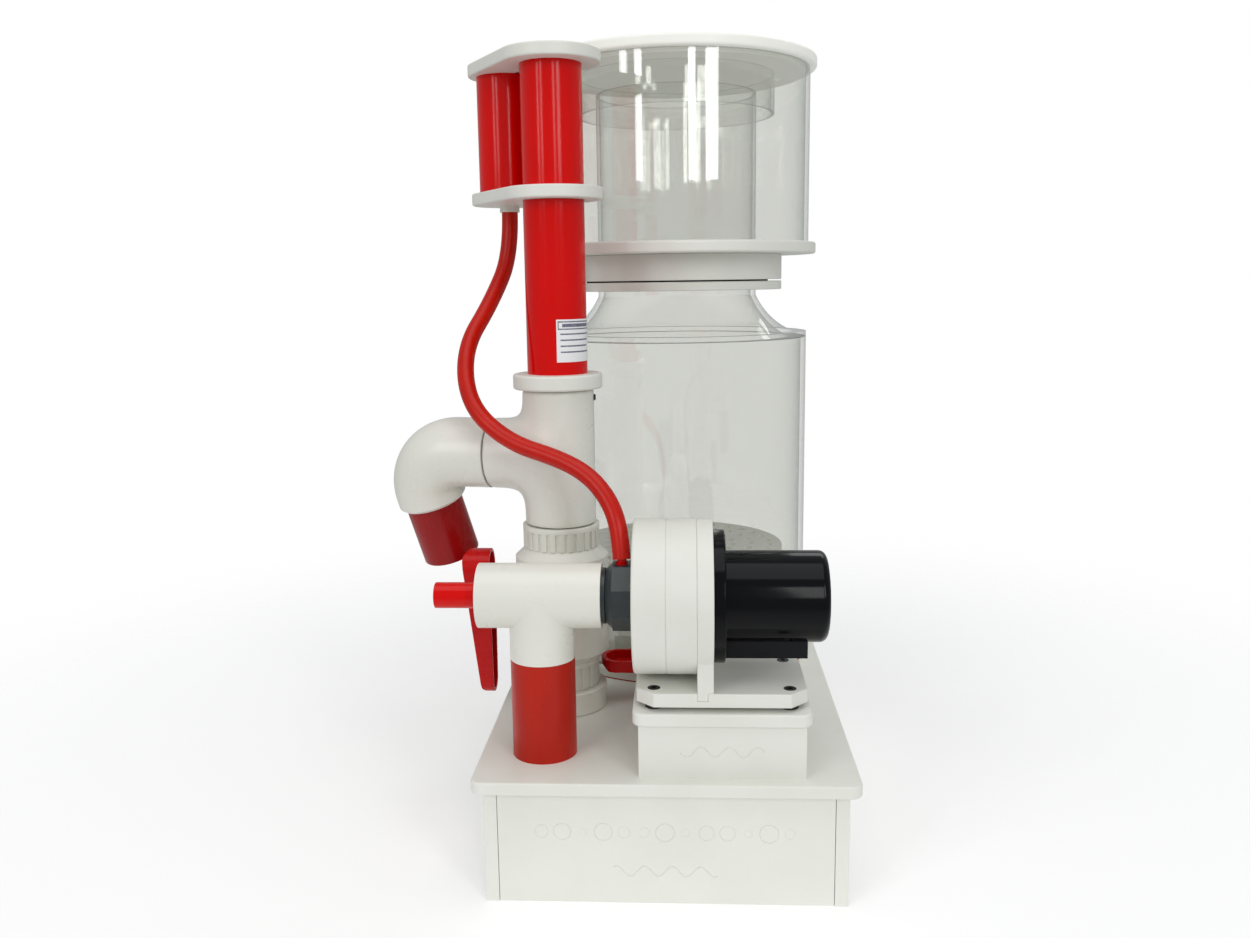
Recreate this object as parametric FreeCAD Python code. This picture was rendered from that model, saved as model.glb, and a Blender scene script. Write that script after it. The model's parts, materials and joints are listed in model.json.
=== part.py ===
import FreeCAD, Part
import math
import os

# External protein skimmer: a clear reaction body and collection cup on a white base box, with a
# recirculating pump on a pedestal in front, a ball valve and water level column on the left, and
# an air silencer on top of the column. Millimetres. The origin is the centre of the base's
# underside. +Z is up, -Y is the front (pump side) and +X is the right.

V = FreeCAD.Vector
UP = V(0, 0, 1)
BACK = V(0, 1, 0)
RIGHT = V(1, 0, 0)
LEFT = V(-1, 0, 0)

# ---------------------------------------------------------------- driving dimensions

# Base box
base_width = 290.0
base_depth = 490.0
base_top = 98.0
board = 10.0                  # thickness of every board of the base
box_width = 272.0
box_inset = 6.5               # how far the box's ends stand in from the plate's edge
plate_corner = 9.0
plate_edge = 1.5

# Reaction body
body_x, body_y = 8.5, 90.0
body_radius = 125.0           # the body's outer diameter of 250 sets the size of the skimmer
acrylic = 5.0
seal_thick = 1.2
floor_thick = 8.0
foot_radius = 131.0
body_top = 408.0
bubble_plate_radius = 104.0
bubble_plate_top = 200.0
bubble_plate_thick = 4.0

# Neck, joint and collection cup
neck_radius = 76.5
neck_top = 453.0
joint_radius = 101.0
neck_ring_thick = 8.0
cup_seal_thick = 1.3
cup_floor_bottom = 486.0
cup_floor_radius = 133.0
cup_floor_top = 496.5
cup_radius = 126.0
cup_wall = 4.0
cup_top = 655.0
riser_radius = 76.0
riser_wall = 3.0
riser_top = 635.0
lid_radius = 132.0
lid_top = 665.0
plug_depth = 3.5
skirt_radius = 93.0
skirt_bottom = 616.0

# Water pipes, by their outer radius
pipe_50 = 25.0
pipe_50_bore = 22.4
pipe_20 = 10.0
pipe_20_bore = 8.2
pipe_16 = 8.0
pipe_16_bore = 6.4
pipe_25 = 12.5
pipe_25_bore = 10.3
manifold_z = 45.0             # axis of the pipe runs inside the base
manifold_bend = 34.0
glue_gap = 0.05               # radial room in a glued joint
glue_shave = 0.8              # step down in a pipe's radius where its end is glued in

# Outlet column: socket, ball valve, tee and standpipe on one upright axis
column_x, column_y = -90.0, -85.0
socket_radius, socket_top = 36.5, 118.0
lower_nut_radius, lower_nut_top = 30.5, 142.0
valve_radius, valve_top = 39.5, 240.5
valve_z = 191.0
ball_radius = 32.0
upper_nut_radius, upper_nut_top = 32.5, 260.0
tee_radius, tee_top = 30.0, 375.0
branch_z = 319.0
branch_length = 60.0
gland_radius, gland_top = 37.2, 387.5
standpipe_bottom = 283.0
wedge_rise = 56.0             # height of the slanted cut at the standpipe's foot
running_gap = 0.06            # radial room in a turning fit
free_gap = 0.4                # room round moving faces that don't bear

# Outlet elbow and pipe
elbow_reach = 130.0           # from the column's axis to the elbow's corner
branch_turn = 10.0            # degrees that the branch points back from straight left
elbow_deflection = 100.0      # degrees between the branch and the outlet
elbow_roll = 16.0             # degrees that the outlet leans back
elbow_bend = 33.0
outlet_leg = 48.0
outlet_pipe_length = 54.0
outlet_insert = 20.0

# Valve lever
lever_top, lever_bottom = 237.0, 109.0
lever_face_top, lever_face_bottom = -175.0, -161.5
lever_back = -151.0
lever_width_hub, lever_width_tail = 34.0, 24.0
lever_wall = 3.0
lever_corner = 7.0
stem_radius = 7.0

# Air silencer
rear_tube_x, rear_tube_y = -135.0, -28.0
silencer_bottom, silencer_top = 528.0, 644.0
silencer_plate = 10.0
front_lobe, rear_lobe = 40.5, 32.0
nipple_radius = 4.6
nipple_tip_radius = 3.6       # the part of each nipple that stands inside the hose
nipple_tip = 6.0
hose_radius = 7.0
hose_bore = 5.0

# Suction tee and pump, all on one axis along X
pump_y, pump_z = -187.0, 225.0
inlet_x = -95.0
tee_left, tee_right = -143.0, -48.0
suction_bore = 20.0
inlet_top = 176.0
stub_end = -177.0
adapter_flats = 50.0
volute_left, volute_seam, volute_right = -23.4, 5.2, 24.3
volute_radius = 59.0
chamber_radius = 50.0
bracket_right = 36.4
motor_flange_radius, motor_flange_right = 50.5, 45.6
motor_radius, motor_right = 34.7, 122.5
motor_box_right, motor_box_bottom, motor_box_top = 107.5, 180.5, 200.0
motor_box_half = 15.0
air_nipple_x = -32.5

# Pump pedestal
pedestal_x = 42.5
pedestal_width, pedestal_depth, pedestal_height = 124.0, 90.0, 40.5
cap_width, cap_depth, cap_thick = 133.0, 96.0, 10.0
damper_height, damper_radius = 4.0, 7.0
pump_base_width, pump_base_depth, pump_base_thick = 127.0, 88.0, 10.5
pump_base_chamfer = 13.0
screw_inset = 13.0

# Drain valve
drain_x, drain_y, drain_z = 5.0, -72.0, 116.0
drain_radius = 10.0
drain_reach = 63.5            # from the stem to the handle's tip
drain_breadth = 34.0
drain_bow = 13.0              # length over which the handle narrows to its tip

# Route of the air hose, from the silencer's nipple to the pump adapter's nipple. It hangs in a
# loose S to the left of the column and in front of the outlet tee.
hose_route = [
    (rear_tube_x, rear_tube_y, 522.5),
    (rear_tube_x, rear_tube_y, 486.5),
    (-150.0, -50.0, 446.0),
    (-169.0, -83.0, 408.0),
    (-161.0, -112.0, 364.0),
    (-126.0, -131.0, 336.0),
    (-82.0, -149.0, 325.0),
    (-58.0, -161.0, 313.5),
    (-42.0, -172.5, 296.0),
    (-34.0, -182.0, 275.0),
    (air_nipple_x, pump_y, 253.5),
]


# ---------------------------------------------------------------- helpers

def rod(x, y, z, radius, length, direction=UP):
    return Part.makeCylinder(radius, length, V(x, y, z), direction)


def tube(x, y, z, radius, bore, length, direction=UP):
    # The bore is cut right through, so its tool runs past both faces.
    hole = rod(x, y, z, bore, length + 2, direction)
    hole.translate(direction * -1)
    return rod(x, y, z, radius, length, direction).cut(hole)


def box(x0, x1, y0, y1, z0, z1):
    return Part.makeBox(x1 - x0, y1 - y0, z1 - z0, V(x0, y0, z0))


def upright_edges(shape):
    return [e for e in shape.Edges if e.BoundBox.XLength < 0.01 and e.BoundBox.YLength < 0.01]


def level_edges(shape, level):
    return [e for e in shape.Edges
            if abs(e.BoundBox.ZMin - level) < 0.01 and abs(e.BoundBox.ZMax - level) < 0.01]


def rounded_slab(width, depth, z0, z1, corner, edge, x=0.0, y=0.0):
    slab = box(x - width / 2, x + width / 2, y - depth / 2, y + depth / 2, z0, z1)
    slab = slab.makeFillet(corner, upright_edges(slab))
    return slab.makeFillet(edge, level_edges(slab, z0) + level_edges(slab, z1))


def turned(profile, x, y):
    # Turns a closed outline of (radius, height) points about the upright axis at x, y.
    points = [V(x + r, y, z) for r, z in profile]
    face = Part.Face(Part.makePolygon(points + points[:1]))
    return face.revolve(V(x, y, 0), UP, 360)


def rounded_disc(x, y, z0, z1, radius, bore, edge):
    disc = rod(x, y, z0, radius, z1 - z0)
    disc = disc.makeFillet(edge, level_edges(disc, z0) + level_edges(disc, z1))
    return disc.cut(rod(x, y, z0 - 1, bore, z1 - z0 + 2)) if bore else disc


def ribbed_nut(x, y, z0, z1, radius, bore, ribs):
    # A union nut: a plain collar at the top and raised grip ribs all round below it.
    collar = 3.0
    rib_height = 1.6
    nut = rod(x, y, z0, radius - rib_height, z1 - z0)
    nut = nut.fuse(rod(x, y, z1 - collar, radius, collar))
    for i in range(ribs):
        rib = box(x + radius - 4, x + radius, y - 2.2, y + 2.2, z0, z1 - collar)
        rib.rotate(V(x, y, 0), UP, 360.0 * i / ribs)
        nut = nut.fuse(rib)
    nut = nut.removeSplitter()
    return nut.cut(rod(x, y, z0 - 1, bore, z1 - z0 + 2))


def rounded_path(points, radius=None, share=0.45):
    # Straight runs joined by tangent arcs. Without a given radius, each arc is as large as its
    # two runs allow. Returns the wire, its radii and its length.
    points = [V(*p) for p in points]
    edges = []
    radii = []
    start = points[0]
    for before, corner, after in zip(points, points[1:], points[2:]):
        into = (corner - before).normalize()
        out = (after - corner).normalize()
        half_turn = into.getAngle(out) / 2
        shorter = min((corner - before).Length, (after - corner).Length)
        bend = radius or share * shorter / math.tan(half_turn)
        setback = bend * math.tan(half_turn)
        arc_start = corner - into * setback
        arc_end = corner + out * setback
        inward = (out - into).normalize()
        middle = corner + inward * (bend / math.cos(half_turn) - bend)
        edges.append(Part.LineSegment(start, arc_start).toShape())
        edges.append(Part.Arc(arc_start, middle, arc_end).toShape())
        radii.append(bend)
        start = arc_end
    edges.append(Part.LineSegment(start, points[-1]).toShape())
    return Part.Wire(edges), radii, sum(e.Length for e in edges)


def swept(path, section_radius):
    first = path.Edges[0]
    direction = first.tangentAt(first.FirstParameter)
    ring = Part.Wire(Part.makeCircle(section_radius, path.Vertexes[0].Point, direction))
    return path.makePipeShell([ring], True, False)


# ---------------------------------------------------------------- base box

def base_plate():
    plate = rounded_slab(base_width, base_depth, base_top - board, base_top,
                         plate_corner, plate_edge)
    for x, y in pipe_openings:
        plate = plate.cut(rod(x, y, base_top - board - 1, pipe_50 + glue_gap, board + 2))
    return plate


# Where the d50 pipes pass through the base plate: inlet pipe, column, and the two holes under
# the body, the first for the outlet run and the second for the suction run.
outlet_hole = (body_x - 58.5, body_y - 40.0)
suction_hole = (body_x + 36.5, body_y - 50.0)
pipe_openings = [(inlet_x, pump_y), (column_x, column_y), outlet_hole, suction_hole]

box_front = -base_depth / 2 + box_inset
box_back = base_depth / 2 - box_inset
wall_top = base_top - board


def base_side_panels():
    left = box(-box_width / 2, -box_width / 2 + board, box_front, box_back, 0, wall_top)
    right = box(box_width / 2 - board, box_width / 2, box_front, box_back, 0, wall_top)
    return Part.makeCompound([left, right])


def end_panel(y0):
    # The end boards stand between the side boards, set back by the depth of the joint line.
    joint = 0.4
    inner = box_width / 2 - board - joint
    return box(-inner, inner, y0, y0 + board, 0, wall_top)


def manifold_path(start, end, start_top, end_top):
    return rounded_path([(*start, start_top), (*start, manifold_z), (*end, manifold_z),
                         (*end, end_top)], radius=manifold_bend)[0]


column_foot_top = socket_top - 2.0
body_foot_top = base_top + seal_thick + floor_thick
inlet_foot = wall_top - 8.0
outlet_route = manifold_path((column_x, column_y), outlet_hole, column_foot_top, body_foot_top)
suction_route = manifold_path((inlet_x, pump_y), suction_hole, inlet_foot, body_foot_top)


def manifold(path):
    return swept(path, pipe_50).cut(swept(path, pipe_50_bore))


def base_rib():
    # A cross board under the middle of the plate, with clearance cut round both pipe runs.
    inner = box_width / 2 - board
    rib = box(-inner, inner, -board / 2, board / 2, 0, wall_top)
    for path in (outlet_route, suction_route):
        rib = rib.cut(swept(path, pipe_50 + 1.5))
    return rib


# ---------------------------------------------------------------- reaction body

def body_seal():
    return tube(body_x, body_y, base_top, foot_radius, body_radius - 10, seal_thick)


def body_floor():
    bottom = base_top + seal_thick
    floor = rod(body_x, body_y, bottom, foot_radius, floor_thick)
    for x, y in (outlet_hole, suction_hole):
        floor = floor.cut(rod(x, y, bottom - 1, pipe_50 + glue_gap, floor_thick + 2))
    return floor


pump_outlet_x = -9.0
pump_outlet_z = 180.0
body_front = body_y - body_radius


def body_tube():
    bottom = base_top + seal_thick + floor_thick
    wall = tube(body_x, body_y, bottom, body_radius, body_radius - acrylic, body_top - bottom)
    feed = rod(pump_outlet_x, body_front - 20, pump_outlet_z, pipe_25 + glue_gap, 60, BACK)
    drain = rod(drain_x, body_front - 20, drain_z, pipe_16 + glue_gap, 60, BACK)
    return wall.cut(feed).cut(drain)


def bubble_plate():
    bottom = bubble_plate_top - bubble_plate_thick
    plate = rod(body_x, body_y, bottom, bubble_plate_radius, bubble_plate_thick)
    hole_radius = 4.5
    holes = []
    for ring in range(1, 6):
        for i in range(6 * ring):
            angle = math.radians(360.0 * i / (6 * ring) + 11.0 * ring)
            x = body_x + 18.0 * ring * math.cos(angle)
            y = body_y + 18.0 * ring * math.sin(angle)
            holes.append(rod(x, y, bottom - 1, hole_radius, bubble_plate_thick + 2))
    return plate.cut(Part.makeCompound(holes))


diffuser_bottom = 150.0
diffuser_radius = 46.0


def diffuser_pot():
    top = bubble_plate_top - bubble_plate_thick
    pot = rod(body_x, body_y, diffuser_bottom, diffuser_radius, top - diffuser_bottom)
    pot = pot.cut(rod(body_x, body_y, diffuser_bottom + 4, diffuser_radius - 4, 60))
    entry = body_y - diffuser_radius - 10
    return pot.cut(rod(pump_outlet_x, entry, pump_outlet_z, pipe_25 + glue_gap, 25, BACK))


def plate_posts():
    bottom = base_top + seal_thick + floor_thick
    top = bubble_plate_top - bubble_plate_thick
    posts = []
    for quarter in range(4):
        angle = math.radians(45 + 90 * quarter)
        x = body_x + 96.0 * math.cos(angle)
        y = body_y + 96.0 * math.sin(angle)
        posts.append(rod(x, y, bottom, 6.0, top - bottom))
    return Part.makeCompound(posts)


def body_shoulder():
    # A flat ring on the tube, then a trumpet curve in to the neck.
    rim = acrylic
    outer_start = V(112.0, 0, body_top + rim)
    outer_end = V(neck_radius, 0, neck_top - 5)
    inner_start = V(neck_radius - acrylic, 0, neck_top - 5)
    inner_end = V(107.0, 0, body_top)
    edges = [
        Part.LineSegment(V(body_radius, 0, body_top), V(body_radius, 0, body_top + rim)),
        Part.LineSegment(V(body_radius, 0, body_top + rim), outer_start),
        Part.Arc(outer_start, V(90.5, 0, body_top + 19.5), outer_end),
        Part.LineSegment(outer_end, V(neck_radius, 0, neck_top)),
        Part.LineSegment(V(neck_radius, 0, neck_top), V(neck_radius - acrylic, 0, neck_top)),
        Part.LineSegment(V(neck_radius - acrylic, 0, neck_top), inner_start),
        Part.Arc(inner_start, V(86.5, 0, body_top + 16.0), inner_end),
        Part.LineSegment(inner_end, V(body_radius, 0, body_top)),
    ]
    face = Part.Face(Part.Wire([e.toShape() for e in edges]))
    shoulder = face.revolve(V(0, 0, 0), UP, 360)
    shoulder.translate(V(body_x, body_y, 0))
    return shoulder


# ---------------------------------------------------------------- joint and collection cup

seal_bottom = neck_top + neck_ring_thick
cup_ring_bottom = seal_bottom + cup_seal_thick


def neck_ring():
    return rounded_disc(body_x, body_y, neck_top, seal_bottom, joint_radius,
                        neck_radius - acrylic, 1.0)


def cup_seal():
    return tube(body_x, body_y, seal_bottom, 88.0, 82.0, cup_seal_thick)


def cup_ring():
    return rounded_disc(body_x, body_y, cup_ring_bottom, cup_floor_bottom, joint_radius,
                        riser_radius + glue_gap, 1.0)


def cup_floor():
    return rounded_disc(body_x, body_y, cup_floor_bottom, cup_floor_top, cup_floor_radius,
                        riser_radius + glue_gap, 2.0)


def cup_tube():
    return tube(body_x, body_y, cup_floor_top, cup_radius, cup_radius - cup_wall,
                cup_top - cup_floor_top)


def riser_tube():
    bottom = cup_ring_bottom + 0.5
    return tube(body_x, body_y, bottom, riser_radius, riser_radius - riser_wall,
                riser_top - bottom)


lid_bottom = cup_top + 0.2
plug_radius = cup_radius - cup_wall - free_gap


def cup_lid():
    lid = rounded_disc(body_x, body_y, lid_bottom, lid_top, lid_radius, 0, 2.5)
    lid = lid.fuse(rod(body_x, body_y, lid_bottom - plug_depth, plug_radius, plug_depth))
    for angle in (13, 133, 253):
        x = body_x + 100.0 * math.cos(math.radians(angle))
        y = body_y + 100.0 * math.sin(math.radians(angle))
        lid = lid.cut(rod(x, y, lid_bottom - plug_depth - 1, 2.5, 30))
    return lid


def lid_skirt():
    top = lid_bottom - plug_depth
    return tube(body_x, body_y, skirt_bottom, skirt_radius, skirt_radius - 3, top - skirt_bottom)


# ---------------------------------------------------------------- outlet column

def column_socket():
    socket = rounded_disc(column_x, column_y, base_top, socket_top, socket_radius, 0, 1.5)
    return socket.cut(rod(column_x, column_y, base_top - 1, pipe_50 + glue_gap, 30))


def valve_body():
    # A barrel with sloped shoulders, bored for the ball, with a boss for the stem on the left.
    neck = 31.0
    slope = 8.0
    profile = [(0, lower_nut_top), (neck, lower_nut_top), (valve_radius, lower_nut_top + slope),
               (valve_radius, valve_top - slope), (neck, valve_top), (0, valve_top)]
    barrel = turned(profile, column_x, column_y)
    boss_end = lever_back + 1.0
    boss = rod(column_x, column_y, valve_z, 13.0, column_x - boss_end, LEFT)
    barrel = barrel.fuse(boss)
    cavity = ball_radius + free_gap
    barrel = barrel.cut(rod(column_x, column_y, lower_nut_top - 1, pipe_50_bore, 120))
    barrel = barrel.cut(Part.makeSphere(cavity, V(column_x, column_y, valve_z)))
    return barrel.cut(rod(column_x, column_y, valve_z, stem_radius + running_gap, 80, LEFT))


ball_flat = ball_radius - 3.0


def valve_ball():
    ball = Part.makeSphere(ball_radius, V(column_x, column_y, valve_z))
    ball = ball.cut(rod(column_x, column_y, valve_z - 50, pipe_50_bore, 100))
    flat_x = column_x - ball_flat
    return ball.cut(box(flat_x - 20, flat_x, column_y - 40, column_y + 40,
                        valve_z - 40, valve_z + 40))


lever_hub_face = lever_face_top + 10.0


def valve_stem():
    start = column_x - ball_flat
    return rod(start, column_y, valve_z, stem_radius, start - lever_hub_face, LEFT)


def lever_side_outline(inset):
    # The lever seen from the front: deep at the top and slender at the tail.
    top = lever_top - inset
    bottom = lever_bottom + inset
    back = lever_back if inset == 0 else lever_back + 5
    points = [V(back, 0, top), V(lever_face_top + inset, 0, top),
              V(lever_face_bottom + inset, 0, bottom), V(back, 0, bottom)]
    face = Part.Face(Part.makePolygon(points + points[:1]))
    face.translate(V(0, column_y - 40, 0))
    block = face.extrude(V(0, 80, 0))
    corners = [e for e in block.Edges if e.BoundBox.YLength > 79 and e.BoundBox.XMax < back - 1]
    return block.makeFillet(lever_corner - inset, corners)


def lever_face_outline(inset):
    # The lever seen from the left: widest round the stem, with a rounded head and tail.
    hub = lever_width_hub / 2 - inset
    tail = lever_width_tail / 2 - inset
    start = lever_face_top - 5
    head_centre = lever_top - lever_width_hub / 2
    tail_centre = lever_bottom + lever_width_tail / 2
    head = rod(start, column_y, head_centre, hub, 40, RIGHT)
    foot = rod(start, column_y, tail_centre, tail, 40, RIGHT)
    points = [V(start, column_y - hub, head_centre), V(start, column_y + hub, head_centre),
              V(start, column_y + tail, tail_centre), V(start, column_y - tail, tail_centre)]
    middle = Part.Face(Part.makePolygon(points + points[:1])).extrude(V(40, 0, 0))
    return head.fuse(foot).fuse(middle).removeSplitter()


def valve_lever():
    # A channel lever, open towards the valve, with a hub that the stem enters.
    outside = lever_side_outline(0).common(lever_face_outline(0))
    inside = lever_side_outline(lever_wall).common(lever_face_outline(lever_wall))
    hub = rod(lever_back + 1, column_y, valve_z, 12.0, lever_back + 1 - lever_hub_face + 6, LEFT)
    lever = outside.cut(inside).fuse(hub.common(outside))
    return lever.cut(rod(lever_back + 2, column_y, valve_z, stem_radius,
                         lever_back + 2 - lever_hub_face, LEFT)).removeSplitter()


branch_way = V(-math.cos(math.radians(branch_turn)), math.sin(math.radians(branch_turn)), 0)
branch_start = V(column_x, column_y, branch_z)
branch_end = branch_start + branch_way * branch_length


def outlet_tee():
    run = rod(column_x, column_y, upper_nut_top, tee_radius, tee_top - upper_nut_top)
    branch = rod(*branch_start, tee_radius, branch_length, branch_way)
    tee = run.fuse(branch)
    tee = tee.cut(rod(column_x, column_y, upper_nut_top - 1, pipe_50_bore, 150))
    tee = tee.cut(rod(column_x, column_y, upper_nut_top + 18, pipe_50 + free_gap, 150))
    return tee.cut(rod(*branch_start, pipe_50_bore, 80, branch_way))


def standpipe_gland():
    gland = rounded_disc(column_x, column_y, tee_top, gland_top, gland_radius, 0, 2.0)
    return gland.cut(rod(column_x, column_y, tee_top - 1, pipe_50 + running_gap, 30))


def standpipe():
    # Its foot is cut on a slant, so that turning it opens or closes the branch.
    top = silencer_bottom - 0.3
    pipe = tube(column_x, column_y, standpipe_bottom, pipe_50, pipe_50_bore,
                top - standpipe_bottom)
    low, reach = standpipe_bottom, pipe_50 + 5
    slope = wedge_rise / (2 * pipe_50)
    points = [V(-reach, 0, low - 20), V(-reach, 0, low + wedge_rise + 5 * slope),
              V(reach, 0, low - 5 * slope), V(reach, 0, low - 20)]
    wedge = Part.Face(Part.makePolygon(points + points[:1])).extrude(V(0, 80, 0))
    wedge.translate(V(column_x, column_y - 40, 0))
    return pipe.cut(wedge)


# Direction of the outlet: the branch direction turned down through the deflection, then leant
# back about the branch by the roll.
deflection = math.radians(elbow_deflection)
roll = math.radians(elbow_roll)
across = UP.cross(branch_way) * -1
downward = across * math.sin(roll) - UP * math.cos(roll)
outlet_way = branch_way * math.cos(deflection) + downward * math.sin(deflection)
elbow_corner = branch_start + branch_way * elbow_reach
elbow_rim = elbow_corner + outlet_way * outlet_leg


def outlet_elbow():
    path = rounded_path([branch_end, elbow_corner, elbow_rim], radius=elbow_bend)[0]
    elbow = swept(path, tee_radius)
    rim = [e for e in elbow.Edges if e.Closed and (e.CenterOfMass - elbow_rim).Length < 0.5]
    elbow = elbow.makeChamfer(2.5, rim)
    elbow = elbow.cut(swept(path, pipe_50_bore))
    socket = rod(*(elbow_rim - outlet_way * outlet_insert), pipe_50 - glue_shave + glue_gap,
                 outlet_insert + 1, outlet_way)
    return elbow.cut(socket)


def glued_pipe(rim, way, radius, bore, insert, free):
    # A pipe whose inner end is turned down to enter its socket, and whose free end is full size.
    start = rim - way * insert
    pipe = rod(*start, radius - glue_shave, insert, way).fuse(rod(*rim, radius, free, way))
    return pipe.cut(rod(*(start - way), bore, insert + free + 2, way))


def outlet_pipe():
    return glued_pipe(elbow_rim, outlet_way, pipe_50, pipe_50_bore, outlet_insert - 0.1,
                      outlet_pipe_length)


# ---------------------------------------------------------------- air silencer

def silencer_outline(z0):
    # Two round lobes, one over each chamber, and the straight tangents between them.
    front = V(column_x, column_y, z0)
    rear = V(rear_tube_x, rear_tube_y, z0)
    along = rear - front
    spacing = along.Length
    heading = math.atan2(along.y, along.x)
    lean = math.acos((front_lobe - rear_lobe) / spacing)
    corners = []
    for centre, radius, sign in ((front, front_lobe, 1), (rear, rear_lobe, 1),
                                 (rear, rear_lobe, -1), (front, front_lobe, -1)):
        angle = heading + sign * lean
        corners.append(centre + V(radius * math.cos(angle), radius * math.sin(angle), 0))
    rear_tip = rear + V(rear_lobe * math.cos(heading), rear_lobe * math.sin(heading), 0)
    front_tip = front - V(front_lobe * math.cos(heading), front_lobe * math.sin(heading), 0)
    edges = [Part.LineSegment(corners[0], corners[1]).toShape(),
             Part.Arc(corners[1], rear_tip, corners[2]).toShape(),
             Part.LineSegment(corners[2], corners[3]).toShape(),
             Part.Arc(corners[3], front_tip, corners[0]).toShape()]
    return Part.Face(Part.Wire(edges))


def silencer_slab(z0):
    slab = silencer_outline(z0).extrude(V(0, 0, silencer_plate))
    return slab.makeFillet(1.5, level_edges(slab, z0) + level_edges(slab, z0 + silencer_plate))


def silencer_top_plate():
    # A channel in its underside joins the two chambers, and air enters over the front one.
    z0 = silencer_top - silencer_plate
    plate = silencer_slab(z0)
    along = V(rear_tube_x - column_x, rear_tube_y - column_y, 0)
    channel = Part.makeBox(along.Length, 10, 4, V(0, -5, 0))
    channel.rotate(V(0, 0, 0), UP, math.degrees(math.atan2(along.y, along.x)))
    channel.translate(V(column_x, column_y, z0))
    return plate.cut(channel).cut(rod(column_x, column_y, z0 - 1, 6.0, 20))


def silencer_lower_plate():
    # A spigot under the front chamber centres the standpipe's top, and the hose nipple stands
    # under the rear chamber.
    plate = silencer_slab(silencer_bottom)
    spigot = pipe_50_bore - free_gap
    plate = plate.fuse(rod(column_x, column_y, silencer_bottom - 12, spigot, 13))
    plate = plate.fuse(rod(rear_tube_x, rear_tube_y, silencer_bottom - 5.5, 8.5, 6))
    tip_end = hose_route[0][2] - nipple_tip
    plate = plate.fuse(rod(rear_tube_x, rear_tube_y, tip_end, nipple_tip_radius, 12))
    return plate.cut(rod(rear_tube_x, rear_tube_y, tip_end - 1, 2.4, 50))


def silencer_chamber(x, y):
    bottom = silencer_bottom + silencer_plate
    return tube(x, y, bottom, pipe_50, pipe_50_bore, silencer_top - silencer_plate - bottom)


def air_hose():
    path, radii, length = rounded_path(hose_route)
    hose = swept(path, hose_radius)
    section = math.pi * hose_radius ** 2
    print("hose length %.1f, radii %s" % (length, [round(r) for r in radii]))
    print("hose volume over section x length: %.4f" % (hose.Volume / (section * length)))
    return hose.cut(swept(path, hose_bore))


# ---------------------------------------------------------------- suction tee

def suction_tee():
    run = rod(tee_left, pump_y, pump_z, pipe_50, tee_right - tee_left, RIGHT)
    tee = run.fuse(rod(inlet_x, pump_y, inlet_top, pipe_50, pump_z - inlet_top))
    reducer = 12.0
    bore_length = tee_right - tee_left - reducer + 1
    tee = tee.cut(rod(tee_left + reducer, pump_y, pump_z, suction_bore, bore_length, RIGHT))
    tee = tee.cut(rod(inlet_x, pump_y, inlet_top - 1, suction_bore, pump_z - inlet_top))
    return tee.cut(rod(tee_left - 1, pump_y, pump_z, pipe_20 - glue_shave + glue_gap, 20, RIGHT))


def suction_stub():
    return glued_pipe(V(tee_left, pump_y, pump_z), LEFT, pipe_20, pipe_20_bore, 11.0,
                      tee_left - stub_end)


def inlet_pipe():
    return tube(inlet_x, pump_y, inlet_foot, pipe_50, pipe_50_bore, inlet_top - inlet_foot)


def pump_adapter():
    # An octagonal reducer with a sloped left end and a short round neck against the tee.
    neck_end = tee_right + 3.0
    slope_end = neck_end + 5.5
    corner = adapter_flats / 2 / math.cos(math.radians(22.5))
    points = [V(slope_end, pump_y + corner * math.cos(math.radians(22.5 + 45 * i)),
                pump_z + corner * math.sin(math.radians(22.5 + 45 * i))) for i in range(8)]
    block = Part.Face(Part.makePolygon(points + points[:1])).extrude(
        V(volute_left - slope_end, 0, 0))
    slope = Part.makeCone(20.5, 25.5, slope_end - neck_end, V(neck_end, pump_y, pump_z), RIGHT)
    neck = rod(tee_right, pump_y, pump_z, 21.5, neck_end - tee_right, RIGHT)
    adapter = block.fuse(slope).fuse(neck)
    adapter = adapter.cut(rod(tee_right - 1, pump_y, pump_z, 16.0, 40, RIGHT))
    return adapter.cut(rod(air_nipple_x, pump_y, pump_z, nipple_radius, 40))


def air_nipple():
    foot = pump_z + adapter_flats / 2 - 7.0
    shoulder = hose_route[-1][2] - 2.0
    nipple = rod(air_nipple_x, pump_y, foot, nipple_radius, shoulder - foot)
    nipple = nipple.fuse(rod(air_nipple_x, pump_y, foot, nipple_tip_radius,
                             shoulder + 2 + nipple_tip - foot))
    return nipple.cut(rod(air_nipple_x, pump_y, foot - 1, 2.4, 60))


# ---------------------------------------------------------------- pump

def volute_front():
    # The inlet half, with the tangential outlet neck at its back.
    shell = rod(volute_left, pump_y, pump_z, volute_radius, volute_seam - volute_left, RIGHT)
    rim = [e for e in shell.Edges if e.Closed and abs(e.CenterOfMass.x - volute_left) < 0.1]
    shell = shell.makeFillet(2.0, rim)
    groove = tube(1.3, pump_y, pump_z, volute_radius + 1, volute_radius - 0.5, 0.6, RIGHT)
    neck = rod(pump_outlet_x, pump_y, pump_outlet_z, 14.0, volute_radius + 22, BACK)
    shell = shell.cut(groove).fuse(neck)
    chamber_left = volute_left + 9.0
    shell = shell.cut(rod(chamber_left, pump_y, pump_z, chamber_radius, 60, RIGHT))
    shell = shell.cut(rod(volute_left - 1, pump_y, pump_z, 16.0, 20, RIGHT))
    return shell.cut(rod(pump_outlet_x, pump_y, pump_outlet_z, pipe_25 + glue_gap, 120, BACK))


def volute_rear():
    shell = tube(volute_seam, pump_y, pump_z, volute_radius, chamber_radius,
                 volute_right - volute_seam, RIGHT)
    rim = [e for e in shell.Edges if e.Closed and abs(e.CenterOfMass.x - volute_right) < 0.1
           and e.BoundBox.YLength > 110]
    return shell.makeFillet(0.8, rim)


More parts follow.
